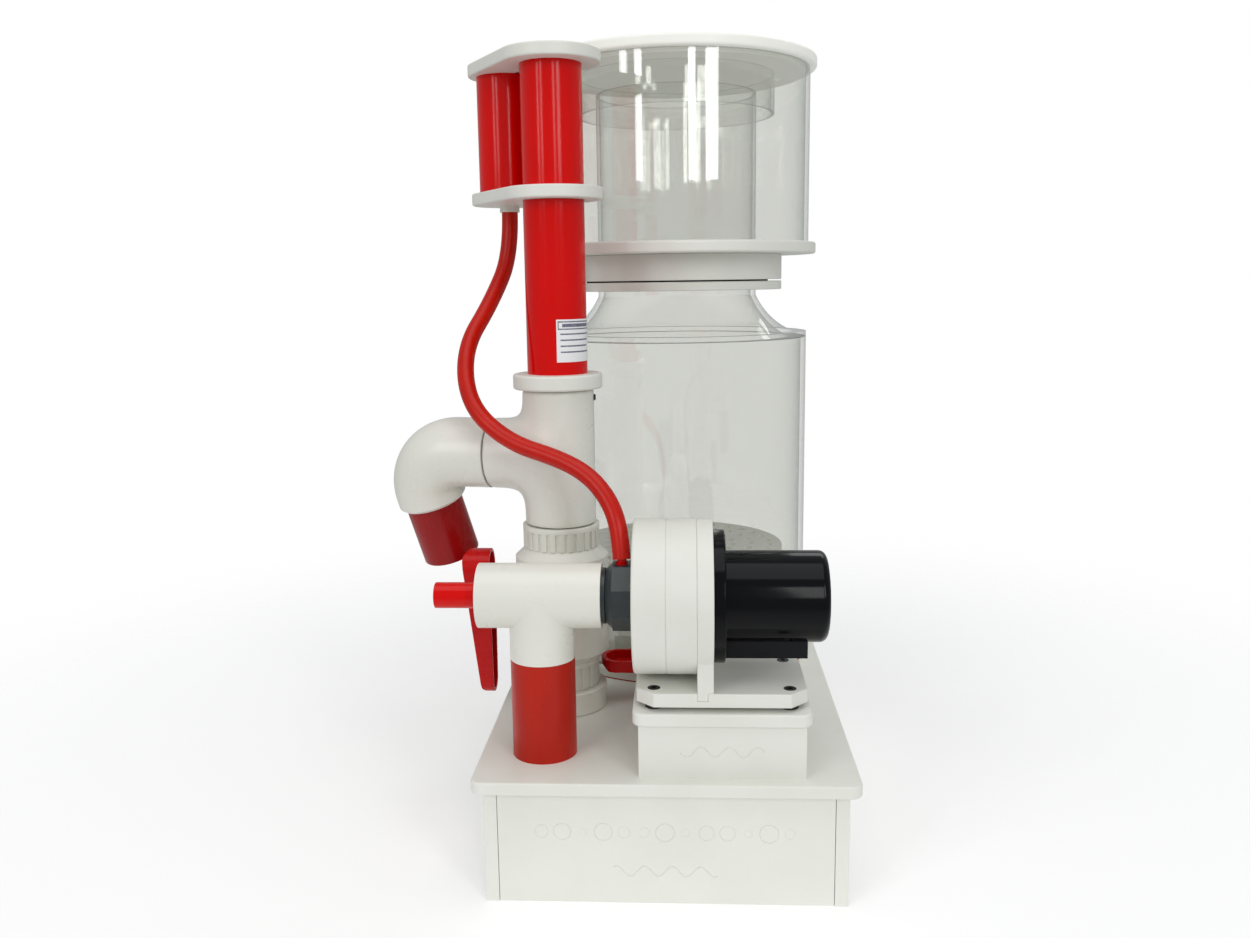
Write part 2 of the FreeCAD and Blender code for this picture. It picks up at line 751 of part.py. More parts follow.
pump_base_top = base_top + pedestal_height + cap_thick + damper_height + pump_base_thick
pump_base_front = pump_y - pump_base_depth / 2
tab_depth = 6.0
tab_thick = 8.0


def pump_bracket():
    # An upright board behind the volute. Its foot is let into a slot in the pump's base board.
    thick = bracket_right - volute_right
    disc = rod(volute_right, pump_y, pump_z, volute_radius, thick, RIGHT)
    half = pump_base_depth / 2
    leg = box(volute_right, bracket_right, pump_y - half, pump_y + half, pump_base_top, pump_z)
    tab = box(volute_right, volute_right + tab_thick, pump_y - half, pump_y + half,
              pump_base_top - tab_depth, pump_base_top + 1)
    bracket = disc.fuse(leg).fuse(tab)
    return bracket.cut(rod(volute_right - 1, pump_y, pump_z, 30.0, 20, RIGHT)).removeSplitter()


def motor_flange():
    flange = rod(bracket_right, pump_y, pump_z, motor_flange_radius,
                 motor_flange_right - bracket_right, RIGHT)
    rim = [e for e in flange.Edges if e.Closed and abs(e.CenterOfMass.x - motor_flange_right) < 0.1]
    flange = flange.makeFillet(1.5, rim)
    return flange.cut(rod(bracket_right - 1, pump_y, pump_z, shaft_radius + running_gap, 20, RIGHT))


shaft_radius = 4.0
magnet_left, magnet_right = 50.0, 98.0
magnet_radius = 16.0


def motor_can():
    # Potted solid round a blind wet bore that holds the rotor and its rear bearing.
    length = motor_right - motor_flange_right
    can = rod(motor_flange_right, pump_y, pump_z, motor_radius, length, RIGHT)
    rim = [e for e in can.Edges if e.Closed and abs(e.CenterOfMass.x - motor_right) < 0.1]
    can = can.makeFillet(6.0, rim)
    bore_length = magnet_right + 2 - motor_flange_right
    can = can.cut(rod(motor_flange_right - 1, pump_y, pump_z, magnet_radius + 1.5,
                      bore_length + 1, RIGHT))
    return can.cut(rod(magnet_right, pump_y, pump_z, shaft_radius + running_gap, 14, RIGHT))


def motor_box():
    # Cable box under the motor, hollowed to the can's curve, with the gland on its back.
    half = motor_box_half
    case = box(motor_flange_right, motor_box_right, pump_y - half, pump_y + half,
               motor_box_bottom, motor_box_top)
    case = case.cut(rod(motor_flange_right - 1, pump_y, pump_z, motor_radius, 80, RIGHT))
    return case.fuse(tube(76.0, pump_y + half, 186.5, 5.0, 3.5, 7.0, BACK))


def rotor_shaft():
    # The ground shaft and the magnet moulded on it.
    shaft = rod(volute_left + 11, pump_y, pump_z, shaft_radius, 120, RIGHT)
    magnet = rod(magnet_left, pump_y, pump_z, magnet_radius, magnet_right - magnet_left, RIGHT)
    return shaft.fuse(magnet)


def needle_wheel():
    # A hub and a disc that carries rings of needles on both faces.
    hub_left = volute_left + 12.0
    disc_x = hub_left + 13.0
    wheel = rod(hub_left, pump_y, pump_z, 9.0, 28.0, RIGHT)
    wheel = wheel.fuse(rod(disc_x, pump_y, pump_z, 40.0, 2.5, RIGHT))
    needles = []
    for ring_radius, count in ((37.0, 30), (30.0, 24), (23.0, 18)):
        for i in range(count):
            angle = 2 * math.pi * i / count
            y = pump_y + ring_radius * math.cos(angle)
            z = pump_z + ring_radius * math.sin(angle)
            needles.append(rod(disc_x - 10, y, z, 1.3, 22.5, RIGHT))
    wheel = wheel.fuse(needles)
    return wheel.cut(rod(hub_left - 1, pump_y, pump_z, shaft_radius, 40, RIGHT))


def pump_outlet_pipe():
    start = pump_y + volute_radius - 4
    end = body_y - diffuser_radius + 6
    return tube(pump_outlet_x, start, pump_outlet_z, pipe_25, pipe_25_bore, end - start, BACK)


# ---------------------------------------------------------------- pedestal

def screw_places():
    reach_x = pump_base_width / 2 - screw_inset
    reach_y = pump_base_depth / 2 - screw_inset
    return [(pedestal_x + i * reach_x, pump_y + j * reach_y) for i in (-1, 1) for j in (-1, 1)]


def pedestal_box():
    shell = box(pedestal_x - pedestal_width / 2, pedestal_x + pedestal_width / 2,
                pump_y - pedestal_depth / 2, pump_y + pedestal_depth / 2,
                base_top, base_top + pedestal_height)
    wall = 8.0
    hollow = box(pedestal_x - pedestal_width / 2 + wall, pedestal_x + pedestal_width / 2 - wall,
                 pump_y - pedestal_depth / 2 + wall, pump_y + pedestal_depth / 2 - wall,
                 base_top - 1, base_top + pedestal_height + 1)
    return shell.cut(hollow)


cap_bottom = base_top + pedestal_height
cap_top = cap_bottom + cap_thick
pump_base_bottom = cap_top + damper_height


def pedestal_top():
    return rounded_slab(cap_width, cap_depth, cap_bottom, cap_top, 9.0, 1.5, pedestal_x, pump_y)


def pump_dampers():
    return Part.makeCompound([rod(x, y, cap_top, damper_radius, damper_height)
                              for x, y in screw_places()])


def pump_base():
    half_x = pump_base_width / 2
    half_y = pump_base_depth / 2
    board_solid = box(pedestal_x - half_x, pedestal_x + half_x, pump_y - half_y, pump_y + half_y,
                      pump_base_bottom, pump_base_top)
    board_solid = board_solid.makeChamfer(pump_base_chamfer, upright_edges(board_solid))
    board_solid = board_solid.makeFillet(0.8, level_edges(board_solid, pump_base_top))
    slot = box(volute_right, volute_right + tab_thick, pump_y - half_y - 1, pump_y + half_y + 1,
               pump_base_top - tab_depth, pump_base_top + 1)
    board_solid = board_solid.cut(slot)
    for x, y in screw_places():
        board_solid = board_solid.cut(rod(x, y, pump_base_bottom - 1, 2.5, 30))
        board_solid = board_solid.cut(rod(x, y, pump_base_top - 4, 4.8, 10))
    return board_solid


def pump_screws():
    # Socket-head screws, sunk level with the board.
    screws = []
    for x, y in screw_places():
        head = rod(x, y, pump_base_top - 4, 4.6, 4.2)
        head = head.cut(rod(x, y, pump_base_top - 2, 2.0, 5))
        screws.append(head.fuse(rod(x, y, pump_base_bottom, 2.3, pump_base_thick - 4)))
    return Part.makeCompound(screws)


# ---------------------------------------------------------------- drain valve

def drain_valve_body():
    # A small ball valve on the body's drain pipe, with a plain spigot in front.
    barrel = rod(drain_x, drain_y - 18, drain_z, drain_radius, 36, BACK)
    inner_pipe = rod(drain_x, drain_y, drain_z, pipe_16, body_front + 8 - drain_y, BACK)
    spigot = rod(drain_x, drain_y - 44, drain_z, pipe_16, 44, BACK)
    boss = rod(drain_x, drain_y, drain_z, 7.0, drain_handle_bottom - 0.4 - drain_z)
    valve = barrel.fuse(inner_pipe).fuse(spigot).fuse(boss)
    valve = valve.cut(rod(drain_x, drain_y - 50, drain_z, pipe_16_bore, 120, BACK))
    return valve.cut(rod(drain_x, drain_y, drain_z + 6, drain_stem_radius + running_gap, 20))


drain_stem_radius = 3.5
drain_handle_bottom = drain_z + drain_radius + 0.8
drain_handle_top = drain_handle_bottom + 10.2


def boat(inset, z0, z1):
    # A boat outline: round at the stem, parallel sides, and a blunt raked bow at the left.
    half = drain_breadth / 2 - inset
    tip = drain_x - drain_reach + 1.6 * inset
    port, starboard = drain_y + half, drain_y - half
    bow = tip + drain_bow
    edges = [
        Part.Arc(V(drain_x, starboard, z0), V(drain_x + half, drain_y, z0), V(drain_x, port, z0)),
        Part.LineSegment(V(drain_x, port, z0), V(bow, port, z0)),
        Part.Arc(V(bow, port, z0), V(tip + 4, drain_y + 0.7 * half, z0), V(tip, drain_y, z0)),
        Part.Arc(V(tip, drain_y, z0), V(tip + 4, drain_y - 0.7 * half, z0), V(bow, starboard, z0)),
        Part.LineSegment(V(bow, starboard, z0), V(drain_x, starboard, z0)),
    ]
    hull = Part.Face(Part.Wire([e.toShape() for e in edges])).extrude(V(0, 0, z1 - z0))
    low = drain_handle_bottom - 1
    rake = [V(tip - 1, 0, low), V(tip + 8, 0, low), V(tip - 1, 0, low + 8)]
    keel = Part.Face(Part.makePolygon(rake + rake[:1])).extrude(V(0, 60, 0))
    keel.translate(V(0, drain_y - 30, 0))
    return hull.cut(keel)


def drain_handle():
    # A hollow boat-shaped handle, open at the top, with its stem moulded on.
    handle = boat(0, drain_handle_bottom, drain_handle_top)
    handle = handle.cut(boat(2.5, drain_handle_bottom + 2.5, drain_handle_top + 5))
    stem_bottom = drain_z + pipe_16_bore + 0.4
    handle = handle.fuse(rod(drain_x, drain_y, stem_bottom, drain_stem_radius,
                             drain_handle_top - 3 - stem_bottom))
    return handle.fuse(rod(drain_x, drain_y, drain_handle_bottom, 6.5, 7.0))


# ---------------------------------------------------------------- export

nodes = {
    "base_plate": base_plate,
    "base_front_panel": lambda: end_panel(box_front + 0.6),
    "base_rear_panel": lambda: end_panel(box_back - board - 0.6),
    "base_side_panels": base_side_panels,
    "base_rib": base_rib,
    "outlet_manifold": lambda: manifold(outlet_route),
    "suction_manifold": lambda: manifold(suction_route),
    "body_seal": body_seal,
    "body_floor": body_floor,
    "body_tube": body_tube,
    "plate_posts": plate_posts,
    "diffuser_pot": diffuser_pot,
    "bubble_plate": bubble_plate,
    "body_shoulder": body_shoulder,
    "neck_ring": neck_ring,
    "cup_seal": cup_seal,
    "cup_ring": cup_ring,
    "cup_floor": cup_floor,
    "cup_tube": cup_tube,
    "riser_tube": riser_tube,
    "cup_lid": cup_lid,
    "lid_skirt": lid_skirt,
    "column_socket": column_socket,
    "lower_union_nut": lambda: ribbed_nut(column_x, column_y, socket_top, lower_nut_top,
                                          lower_nut_radius, pipe_50_bore, 20),
    "valve_body": valve_body,
    "valve_ball": valve_ball,
    "valve_stem": valve_stem,
    "valve_lever": valve_lever,
    "upper_union_nut": lambda: ribbed_nut(column_x, column_y, valve_top, upper_nut_top,
                                          upper_nut_radius, pipe_50_bore, 24),
    "outlet_tee": outlet_tee,
    "standpipe_gland": standpipe_gland,
    "standpipe": standpipe,
    "outlet_elbow": outlet_elbow,
    "outlet_pipe": outlet_pipe,
    "silencer_top_plate": silencer_top_plate,
    "silencer_lower_plate": silencer_lower_plate,
    "silencer_front_tube": lambda: silencer_chamber(column_x, column_y),
    "silencer_rear_tube": lambda: silencer_chamber(rear_tube_x, rear_tube_y),
    "air_hose": air_hose,
    "pump_adapter": pump_adapter,
    "air_nipple": air_nipple,
    "suction_tee": suction_tee,
    "suction_stub": suction_stub,
    "inlet_pipe": inlet_pipe,
    "volute_front": volute_front,
    "volute_rear": volute_rear,
    "pump_bracket": pump_bracket,
    "pump_base": pump_base,
    "pump_screws": pump_screws,
    "pump_dampers": pump_dampers,
    "pedestal_top": pedestal_top,
    "pedestal_box": pedestal_box,
    "motor_flange": motor_flange,
    "motor_can": motor_can,
    "motor_box": motor_box,
    "needle_wheel": needle_wheel,
    "rotor_shaft": rotor_shaft,
    "pump_outlet_pipe": pump_outlet_pipe,
    "drain_valve_body": drain_valve_body,
    "drain_handle": drain_handle,
}

os.makedirs("parts", exist_ok=True)
for name, make in nodes.items():
    shape = make()
    if not shape.isValid():
        print("not valid:", name)
    shape.exportStep("parts/%s.step" % name)
print(len(nodes), "nodes")
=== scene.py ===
# %% [markdown]
# # A protein skimmer for a large aquarium
# Water is pumped with fine air bubbles into a tall clear body. The bubbles carry protein up the
# neck as foam, which spills over the riser tube into the cup. The water leaves through the white
# column on the left, whose red standpipe sets the level. This lesson loads the engineering model
# as a fixed frame, then builds the softer, rounder and more detailed pieces around it.

# %% Load the frame
import json
import math

import bmesh
import bpy
from mathutils import Matrix, Vector

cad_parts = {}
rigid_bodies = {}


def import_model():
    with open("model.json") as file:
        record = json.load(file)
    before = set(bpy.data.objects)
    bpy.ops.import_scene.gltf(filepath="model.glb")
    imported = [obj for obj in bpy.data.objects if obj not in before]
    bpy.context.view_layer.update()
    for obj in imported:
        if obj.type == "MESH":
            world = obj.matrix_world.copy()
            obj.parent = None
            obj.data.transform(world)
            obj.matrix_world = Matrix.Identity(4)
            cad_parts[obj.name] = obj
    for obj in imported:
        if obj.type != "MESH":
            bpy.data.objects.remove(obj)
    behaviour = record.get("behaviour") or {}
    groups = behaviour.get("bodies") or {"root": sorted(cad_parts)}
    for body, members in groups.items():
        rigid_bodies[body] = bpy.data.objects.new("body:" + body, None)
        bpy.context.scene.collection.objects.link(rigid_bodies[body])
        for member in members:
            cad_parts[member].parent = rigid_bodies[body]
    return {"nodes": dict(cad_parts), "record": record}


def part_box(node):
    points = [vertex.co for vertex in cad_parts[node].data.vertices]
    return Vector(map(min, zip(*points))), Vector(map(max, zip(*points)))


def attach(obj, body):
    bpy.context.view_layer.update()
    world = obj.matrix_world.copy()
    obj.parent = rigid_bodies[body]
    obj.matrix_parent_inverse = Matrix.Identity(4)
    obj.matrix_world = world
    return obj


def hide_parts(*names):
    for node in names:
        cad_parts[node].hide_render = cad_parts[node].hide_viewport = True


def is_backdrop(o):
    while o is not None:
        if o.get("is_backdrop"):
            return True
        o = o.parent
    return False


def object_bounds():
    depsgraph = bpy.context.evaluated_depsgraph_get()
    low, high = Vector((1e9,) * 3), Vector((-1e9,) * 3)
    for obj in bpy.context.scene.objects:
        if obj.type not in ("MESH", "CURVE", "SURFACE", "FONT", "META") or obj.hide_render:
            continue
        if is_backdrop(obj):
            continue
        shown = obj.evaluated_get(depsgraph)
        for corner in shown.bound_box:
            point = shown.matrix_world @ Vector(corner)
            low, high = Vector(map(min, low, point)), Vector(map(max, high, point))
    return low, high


for leftover in list(bpy.data.objects):
    bpy.data.objects.remove(leftover)
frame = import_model()
cad_low, cad_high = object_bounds()
scene = bpy.context.scene
nodes = frame["nodes"]
slot_of = {part["node"]: part["material_slot"] for part in frame["record"]["subparts"]}
body_of = {node: body for body, members in frame["record"]["behaviour"]["bodies"].items()
           for node in members}
MM = 0.001

# %% [markdown]
# The camera stands at eye level in front of the cup, about a metre from the column, and looks
# slightly down. It comes first, because the hose is checked against what the camera sees.

# %% Camera
camera_data = bpy.data.cameras.new("camera")
camera_data.sensor_width = 36.0
camera_data.lens = 31.73
camera = bpy.data.objects.new("camera", camera_data)
scene.collection.objects.link(camera)
scene.camera = camera
camera_place = (0.016792, -1.001365, 0.462397)
yaw, pitch, roll = -0.056227, 0.168907, -0.014023
ahead = Vector((math.sin(yaw), math.cos(yaw), 0))
forward = ahead * math.cos(pitch) - Vector((0, 0, math.sin(pitch)))
level = Vector((math.cos(yaw), -math.sin(yaw), 0))
upward = level.cross(forward)
right = level * math.cos(roll) + upward * math.sin(roll)
top = upward * math.cos(roll) - level * math.sin(roll)
turn = Matrix((right, top, -forward)).transposed()
camera.matrix_world = Matrix.Translation(camera_place) @ turn.to_4x4()
print("lens %.2f mm" % camera_data.lens)

# %% [markdown]
# The air hose is soft silicone, 14 mm across. It could be a mesh tube, but a curve keeps the line
# that gravity and its own stiffness give it. A NURBS spline of order 3 passes smoothly inside its
# control points, so it never shows a kink.

# %% Air hose
hose_route = [
    (-0.135, -0.028, 0.5225), (-0.135, -0.028, 0.4865), (-0.150, -0.050, 0.446),
    (-0.169, -0.083, 0.408), (-0.161, -0.112, 0.364), (-0.126, -0.131, 0.336),
    (-0.082, -0.149, 0.325), (-0.058, -0.161, 0.3135), (-0.042, -0.1725, 0.296),
    (-0.034, -0.182, 0.275), (-0.0325, -0.187, 0.2535),
]
hose_diameter = 0.014
hose_line = bpy.data.curves.new("air_hose_line", "CURVE")
hose_line.dimensions = "3D"
hose_spline = hose_line.splines.new("NURBS")
hose_spline.points.add(len(hose_route) - 1)
for point, place in zip(hose_spline.points, hose_route):
    point.co = (*place, 1)
    point.radius = hose_diameter / 2
hose_spline.order_u = 3
hose_spline.use_endpoint_u = True
hose_spline.resolution_u = 16
hose_line.bevel_depth = 1.0
hose_line.bevel_resolution = 8
hose_line.use_fill_caps = True
hose = bpy.data.objects.new("silicone_air_hose", hose_line)
scene.collection.objects.link(hose)
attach(hose, "root")
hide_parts("air_hose")
print("hose through", len(hose_route), "points")

# %% [markdown]
# Materials and Geometry Nodes are both node trees, so one small pair of classes wires them.
# `Wire` holds a node's output and turns Python sums into Math nodes. `Net.add` makes any other
# node: its settings first, then the values or wires of its sockets.

# %% Wiring
class Wire:
    def __init__(self, net, socket):
        self.net = net
        self.socket = socket

    def maths(self, operation, *values):
        return self.net.add("ShaderNodeMath", {"operation": operation}, dict(enumerate(values)))

    def __add__(self, other):
        return self.maths("ADD", self, other)

    def __sub__(self, other):
        return self.maths("SUBTRACT", self, other)

    def __rsub__(self, other):
        return self.maths("SUBTRACT", other, self)

    def __mul__(self, other):
        return self.maths("MULTIPLY", self, other)

    def __pow__(self, other):
        return self.maths("POWER", self, other)

    def __gt__(self, other):
        return self.maths("GREATER_THAN", self, other)

    __radd__ = __add__
    __rmul__ = __mul__


class Net:
    def __init__(self, tree):
        self.tree = tree

    def find(self, sockets, key):
        if isinstance(key, int):
            return sockets[key]
        return next(s for s in sockets if s.name == key and s.enabled)

    def add(self, kind, settings=None, inputs=None, output=0):
        node = self.tree.nodes.new(kind)
        for name, value in (settings or {}).items():
            setattr(node, name, value)
        for key, value in (inputs or {}).items():
            socket = self.find(node.inputs, key)
            for one in value if isinstance(value, list) else [value]:
                if isinstance(one, Wire):
                    self.tree.links.new(one.socket, socket)
                else:
                    socket.default_value = one
        return Wire(self, self.find(node.outputs, output))


print("wiring ready")

# %% [markdown]
# A moulded or extruded plastic is never one flat colour. `Finish` starts a material with a few
# habits: cloudy noise in metres, a blend of two close shades, a roughness that drifts, and a fine
# grain in the bump. All of it reads Object coordinates, so it keeps its real size on every piece.

# %% Material helpers
def rgb(red, green, blue):
    """A screen colour from 0 to 255 as the linear colour that shaders use."""
    return tuple((c / 255 / 12.92) if c <= 10 else ((c / 255 + 0.055) / 1.055) ** 2.4
                 for c in (red, green, blue)) + (1.0,)


class Finish(Net):
    def __init__(self, name):
        self.material = bpy.data.materials.new(name)
        self.material.use_nodes = True
        super().__init__(self.material.node_tree)
        self.tree.nodes.clear()
        self.place = self.add("ShaderNodeTexCoord", output="Object")

    def cloud(self, size, detail=3.0, stretch=(1, 1, 1), shift=0.0):
        """Noise from 0 to 1 whose spots are about size metres across."""
        scale = tuple(1 / (size * s) for s in stretch)
        where = self.add("ShaderNodeMapping", None, {
            "Vector": self.place, "Location": (shift, shift, shift), "Scale": scale})
        return self.add("ShaderNodeTexNoise", None, {
            "Vector": where, "Scale": 1.0, "Detail": detail})

    def drift(self, value, low, high):
        return self.add("ShaderNodeMapRange", None, {
            "Value": value, "From Min": 0.3, "From Max": 0.7, "To Min": low, "To Max": high})

    def blend(self, share, first, second):
        return self.add("ShaderNodeMix", {"data_type": "RGBA"}, {
            "Factor": share, "A": first, "B": second}, "Result")

    def bump(self, height, depth):
        return self.add("ShaderNodeBump", None, {"Height": height, "Distance": depth})

    def plastic(self, inputs):
        return self.add("ShaderNodeBsdfPrincipled", None, inputs)

    def show(self, shader):
        output = self.tree.nodes.new("ShaderNodeOutputMaterial")
        self.tree.links.new(shader.socket, output.inputs["Surface"])
        return self.material


def moulding(name, colour, shade, low, high, patch=0.03, grain=0.0006, depth=0.00004,
             stretch=(1, 1, 1), extra=None):
    """A plastic with two close shades in patches, a drifting roughness and a fine grain."""
    made = Finish(name)
    patches = made.cloud(patch, 4.0, stretch)
    specks = made.cloud(grain, 2.0, stretch, 3.1)
    rubbed = made.cloud(patch / 3, 5.0, stretch, 7.7)
    sockets = {
        "Base Color": made.blend(made.drift(patches * 0.8 + specks * 0.2, 0, 1), colour, shade),
        "Roughness": made.drift(rubbed, low, high),
        "Normal": made.bump(specks * 0.4 + patches, depth),
    }
    sockets.update(extra or {})
    return made.show(made.plastic(sockets))


print("finish helpers ready")

# %% [markdown]
# The sheet parts are white rigid PVC, satin, with a faint cloudiness. The pipe fittings are
# moulded from a creamier, shinier PVC. Red pipe is extruded, so its streaks run along the pipe.

# %% Opaque finishes
finishes = {
    "white_pvc": moulding("satin_white_pvc_sheet", rgb(228, 229, 222), rgb(222, 223, 214),
                          0.36, 0.52, 0.05, 0.0009, 0.00005),
    "white_fitting": moulding("moulded_cream_white_fitting", rgb(228, 228, 220),
                              rgb(225, 225, 215), 0.26, 0.32, 0.05, 0.0012, 0.000008),
    "red_pipe": moulding("extruded_red_pipe", rgb(216, 2, 0), rgb(208, 3, 1), 0.10, 0.18,
                         0.004, 0.0009, 0.00001, (1, 1, 14), {"Specular IOR Level": 0.22}),
    "red_handle": moulding("moulded_red_handle", rgb(196, 5, 5), rgb(184, 4, 6),
                           0.20, 0.32, 0.02, 0.0008, 0.00001, (1, 1, 1),
                           {"Specular IOR Level": 0.22}),
    "dark_grey_pvc": moulding("dark_grey_pvc", rgb(45, 53, 56), rgb(38, 45, 48), 0.28, 0.42,
                              0.02, 0.0008, 0.00005),
    "black_casing": moulding("glossy_black_casing", rgb(9, 10, 13), rgb(7, 8, 11),
                             0.10, 0.16, 0.05, 0.0015, 0.00001, (1, 1, 1),
                             {"Specular IOR Level": 0.14}),
    "black_rubber": moulding("black_rubber", rgb(34, 34, 35), rgb(26, 26, 27), 0.6, 0.8,
                             0.01, 0.0006, 0.00010),
    "red_rubber": moulding("red_rubber", rgb(172, 28, 26), rgb(150, 22, 22), 0.5, 0.7,
                           0.01, 0.0006, 0.00008),
    "red_hose": moulding("red_silicone_hose", rgb(196, 24, 3), rgb(182, 17, 3), 0.26, 0.36,
                         0.03, 0.0010, 0.00001, (1, 1, 1), {"Specular IOR Level": 0.25}),
    "black_steel": moulding("blackened_steel", rgb(48, 44, 46), rgb(38, 36, 40), 0.3, 0.5,
                            0.004, 0.0005, 0.00004, (1, 1, 1), {"Metallic": 0.6}),
    "rotor_black": moulding("rotor_black_plastic", rgb(40, 40, 44), rgb(30, 30, 34), 0.35, 0.5),
}
cable_box_black = moulding("matt_black_cable_box", rgb(18, 19, 22), rgb(14, 15, 18), 0.45, 0.6,
                           extra={"Specular IOR Level": 0.2})
# The lid's faint emission is a painted glow: it lifts the lid, its underside most, though the lid
# is no lamp.
lid_white_with_painted_glow = moulding("translucent_white_lid", rgb(222, 223, 216), rgb(217, 218, 210), 0.36, 0.52,
                     0.05, 0.0009, 0.00005,
                     extra={"Emission Color": (1, 1, 0.97, 1), "Emission Strength": 0.2})
dull_red_pipe = moulding("handled_red_pipe", rgb(186, 32, 8), rgb(166, 22, 5), 0.28, 0.44,
                         0.02, 0.0009, 0.00003, (1, 1, 5), {"Specular IOR Level": 0.25})
# The outlet pipe's darker red is painted shade: it is the same red pipe, made darker because it
# stands in shade.
red_pipe_with_painted_shade = moulding("dark_red_pipe", rgb(152, 12, 14), rgb(140, 9, 12), 0.20, 0.34,
                           0.02, 0.0009, 0.00003, (1, 1, 5), {"Specular IOR Level": 0.25})
print(len(finishes), "opaque finishes")

# %% [markdown]
# Clear acrylic could be a glass shader, but many walls stand behind each other here, and light
# would have to find its way through them all. A thin tint with a mirror-like shine that grows
# towards the edge of sight looks the same and stays clean. Sawn and turned end faces are frosted,
# which draws the fine rings where a tube ends.

# %% Clear finishes
def acrylic(name, tint, frost):
    made = Finish(name)
    away = made.add("ShaderNodeLayerWeight", None, {"Blend": 0.5}, "Facing")
    wiped = made.drift(made.cloud(0.03, 5.0, (1, 1, 3)), 0.0, 0.012)
    shine = away ** 5 * 0.9 + 0.07 + wiped
    through = made.add("ShaderNodeBsdfTransparent", None, {"Color": tint})
    gloss = made.plastic({"Base Color": rgb(250, 252, 250), "Metallic": 1.0,
                          "Roughness": made.drift(made.cloud(0.01, 3.0), 0.015, 0.04)})
    wall = made.add("ShaderNodeMixShader", None, {0: shine, 1: through, 2: gloss})
    normal = made.add("ShaderNodeNewGeometry", output="True Normal")
    height = made.add("ShaderNodeSeparateXYZ", None, {"Vector": normal}, "Z")
    sawn = height.maths("ABSOLUTE", height) > 0.95
    cut_face = made.plastic({"Base Color": rgb(196, 203, 198), "Roughness": 0.35})
    both = made.add("ShaderNodeMixShader", None, {0: sawn * frost, 1: wall, 2: cut_face})
    return made.show(both)


outer_acrylic = acrylic("clear_acrylic_outer_wall", (0.925, 0.927, 0.912, 1), 0.6)
inner_acrylic = acrylic("clear_acrylic_inner_wall", (0.978, 0.979, 0.974, 1), 0.5)
finishes["clear_acrylic"] = outer_acrylic
special = {
    "riser_tube": inner_acrylic, "lid_skirt": inner_acrylic, "cup_lid": lid_white_with_painted_glow,
    "motor_box": cable_box_black, "inlet_pipe": dull_red_pipe, "outlet_pipe": red_pipe_with_painted_shade,
}


def finish_of(node):
    return special.get(node, finishes[slot_of[node]])


for name, node in nodes.items():
    node.data.materials.clear()
    node.data.materials.append(finish_of(name))
hose_line.materials.append(finishes["red_hose"])
print("every node has its finish")

# %% [markdown]
# Sheet that has been sawn and scraped has edges rounded by half a millimetre or so, and those
# edges catch the light. `eased` copies a node, joins its loose triangles back into clean faces,
# rounds its sharp edges with a Bevel, and lets the copy stand for the node.

# %% Easing edges
def smooth(mesh, degrees=38):
    mesh.shade_smooth()
    mesh.set_sharp_from_angle(angle=math.radians(degrees))


def settle(piece, like, replaced):
    """Puts a finished piece in the scene, on the body of the node that it is like."""
    if piece.name not in scene.collection.objects:
        scene.collection.objects.link(piece)
    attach(piece, body_of[like])
    if replaced:
        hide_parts(*replaced)
    print(piece.name, len(piece.data.polygons), "faces")
    return piece


def plain_mesh(maker):
    """The maker's mesh with its modifiers in it. The maker goes."""
    graph = bpy.context.evaluated_depsgraph_get()
    mesh = bpy.data.meshes.new_from_object(maker.evaluated_get(graph), depsgraph=graph,
                                           preserve_all_data_layers=True)
    bpy.data.objects.remove(maker)
    return mesh


def clean_copy(node):
    mesh = nodes[node].data.copy()
    build = bmesh.new()
    build.from_mesh(mesh)
    bmesh.ops.remove_doubles(build, verts=build.verts, dist=2e-6)
    bmesh.ops.dissolve_limit(build, angle_limit=math.radians(0.4), verts=build.verts,
                             edges=build.edges)
    build.to_mesh(mesh)
    build.free()
    if "custom_normal" in mesh.attributes:
        mesh.attributes.remove(mesh.attributes["custom_normal"])
    return mesh


def rounded(maker, width, segments):
    bevel = maker.modifiers.new("round", "BEVEL")
    bevel.width = width * MM
    bevel.segments = segments
    bevel.limit_method = "ANGLE"
    bevel.angle_limit = math.radians(40)
    maker.modifiers.new("even", "WEIGHTED_NORMAL").keep_sharp = True


def eased(node, width, segments=2):
    maker = bpy.data.objects.new("maker", clean_copy(node))
    scene.collection.objects.link(maker)
    maker.data.shade_smooth()
    rounded(maker, width, segments)
    mesh = plain_mesh(maker)
    mesh.name = "eased_" + node
    return settle(bpy.data.objects.new("eased_" + node, mesh), node, [node])


edge_widths = {
    "base_side_panels": 0.6, "base_rear_panel": 0.6, "pump_bracket": 0.8, "pump_base": 0.7,
    "motor_flange": 0.8, "motor_box": 0.8, "pump_adapter": 0.9, "suction_stub": 0.6,
    "inlet_pipe": 0.8, "outlet_pipe": 0.8, "valve_lever": 0.9, "drain_handle": 0.8,
    "valve_body": 2.0, "volute_front": 0.5, "volute_rear": 0.5,
}
for node, width in edge_widths.items():
    eased(node, width, 3)

# %% [markdown]
# A moulded tee has its branch blended into its run, which no plain boolean gives. A distance
# field does: each drum is a distance from its wall, a smooth minimum melts the drums together,
# and a volume of that field is turned into a mesh. Geometry Nodes holds the whole recipe.

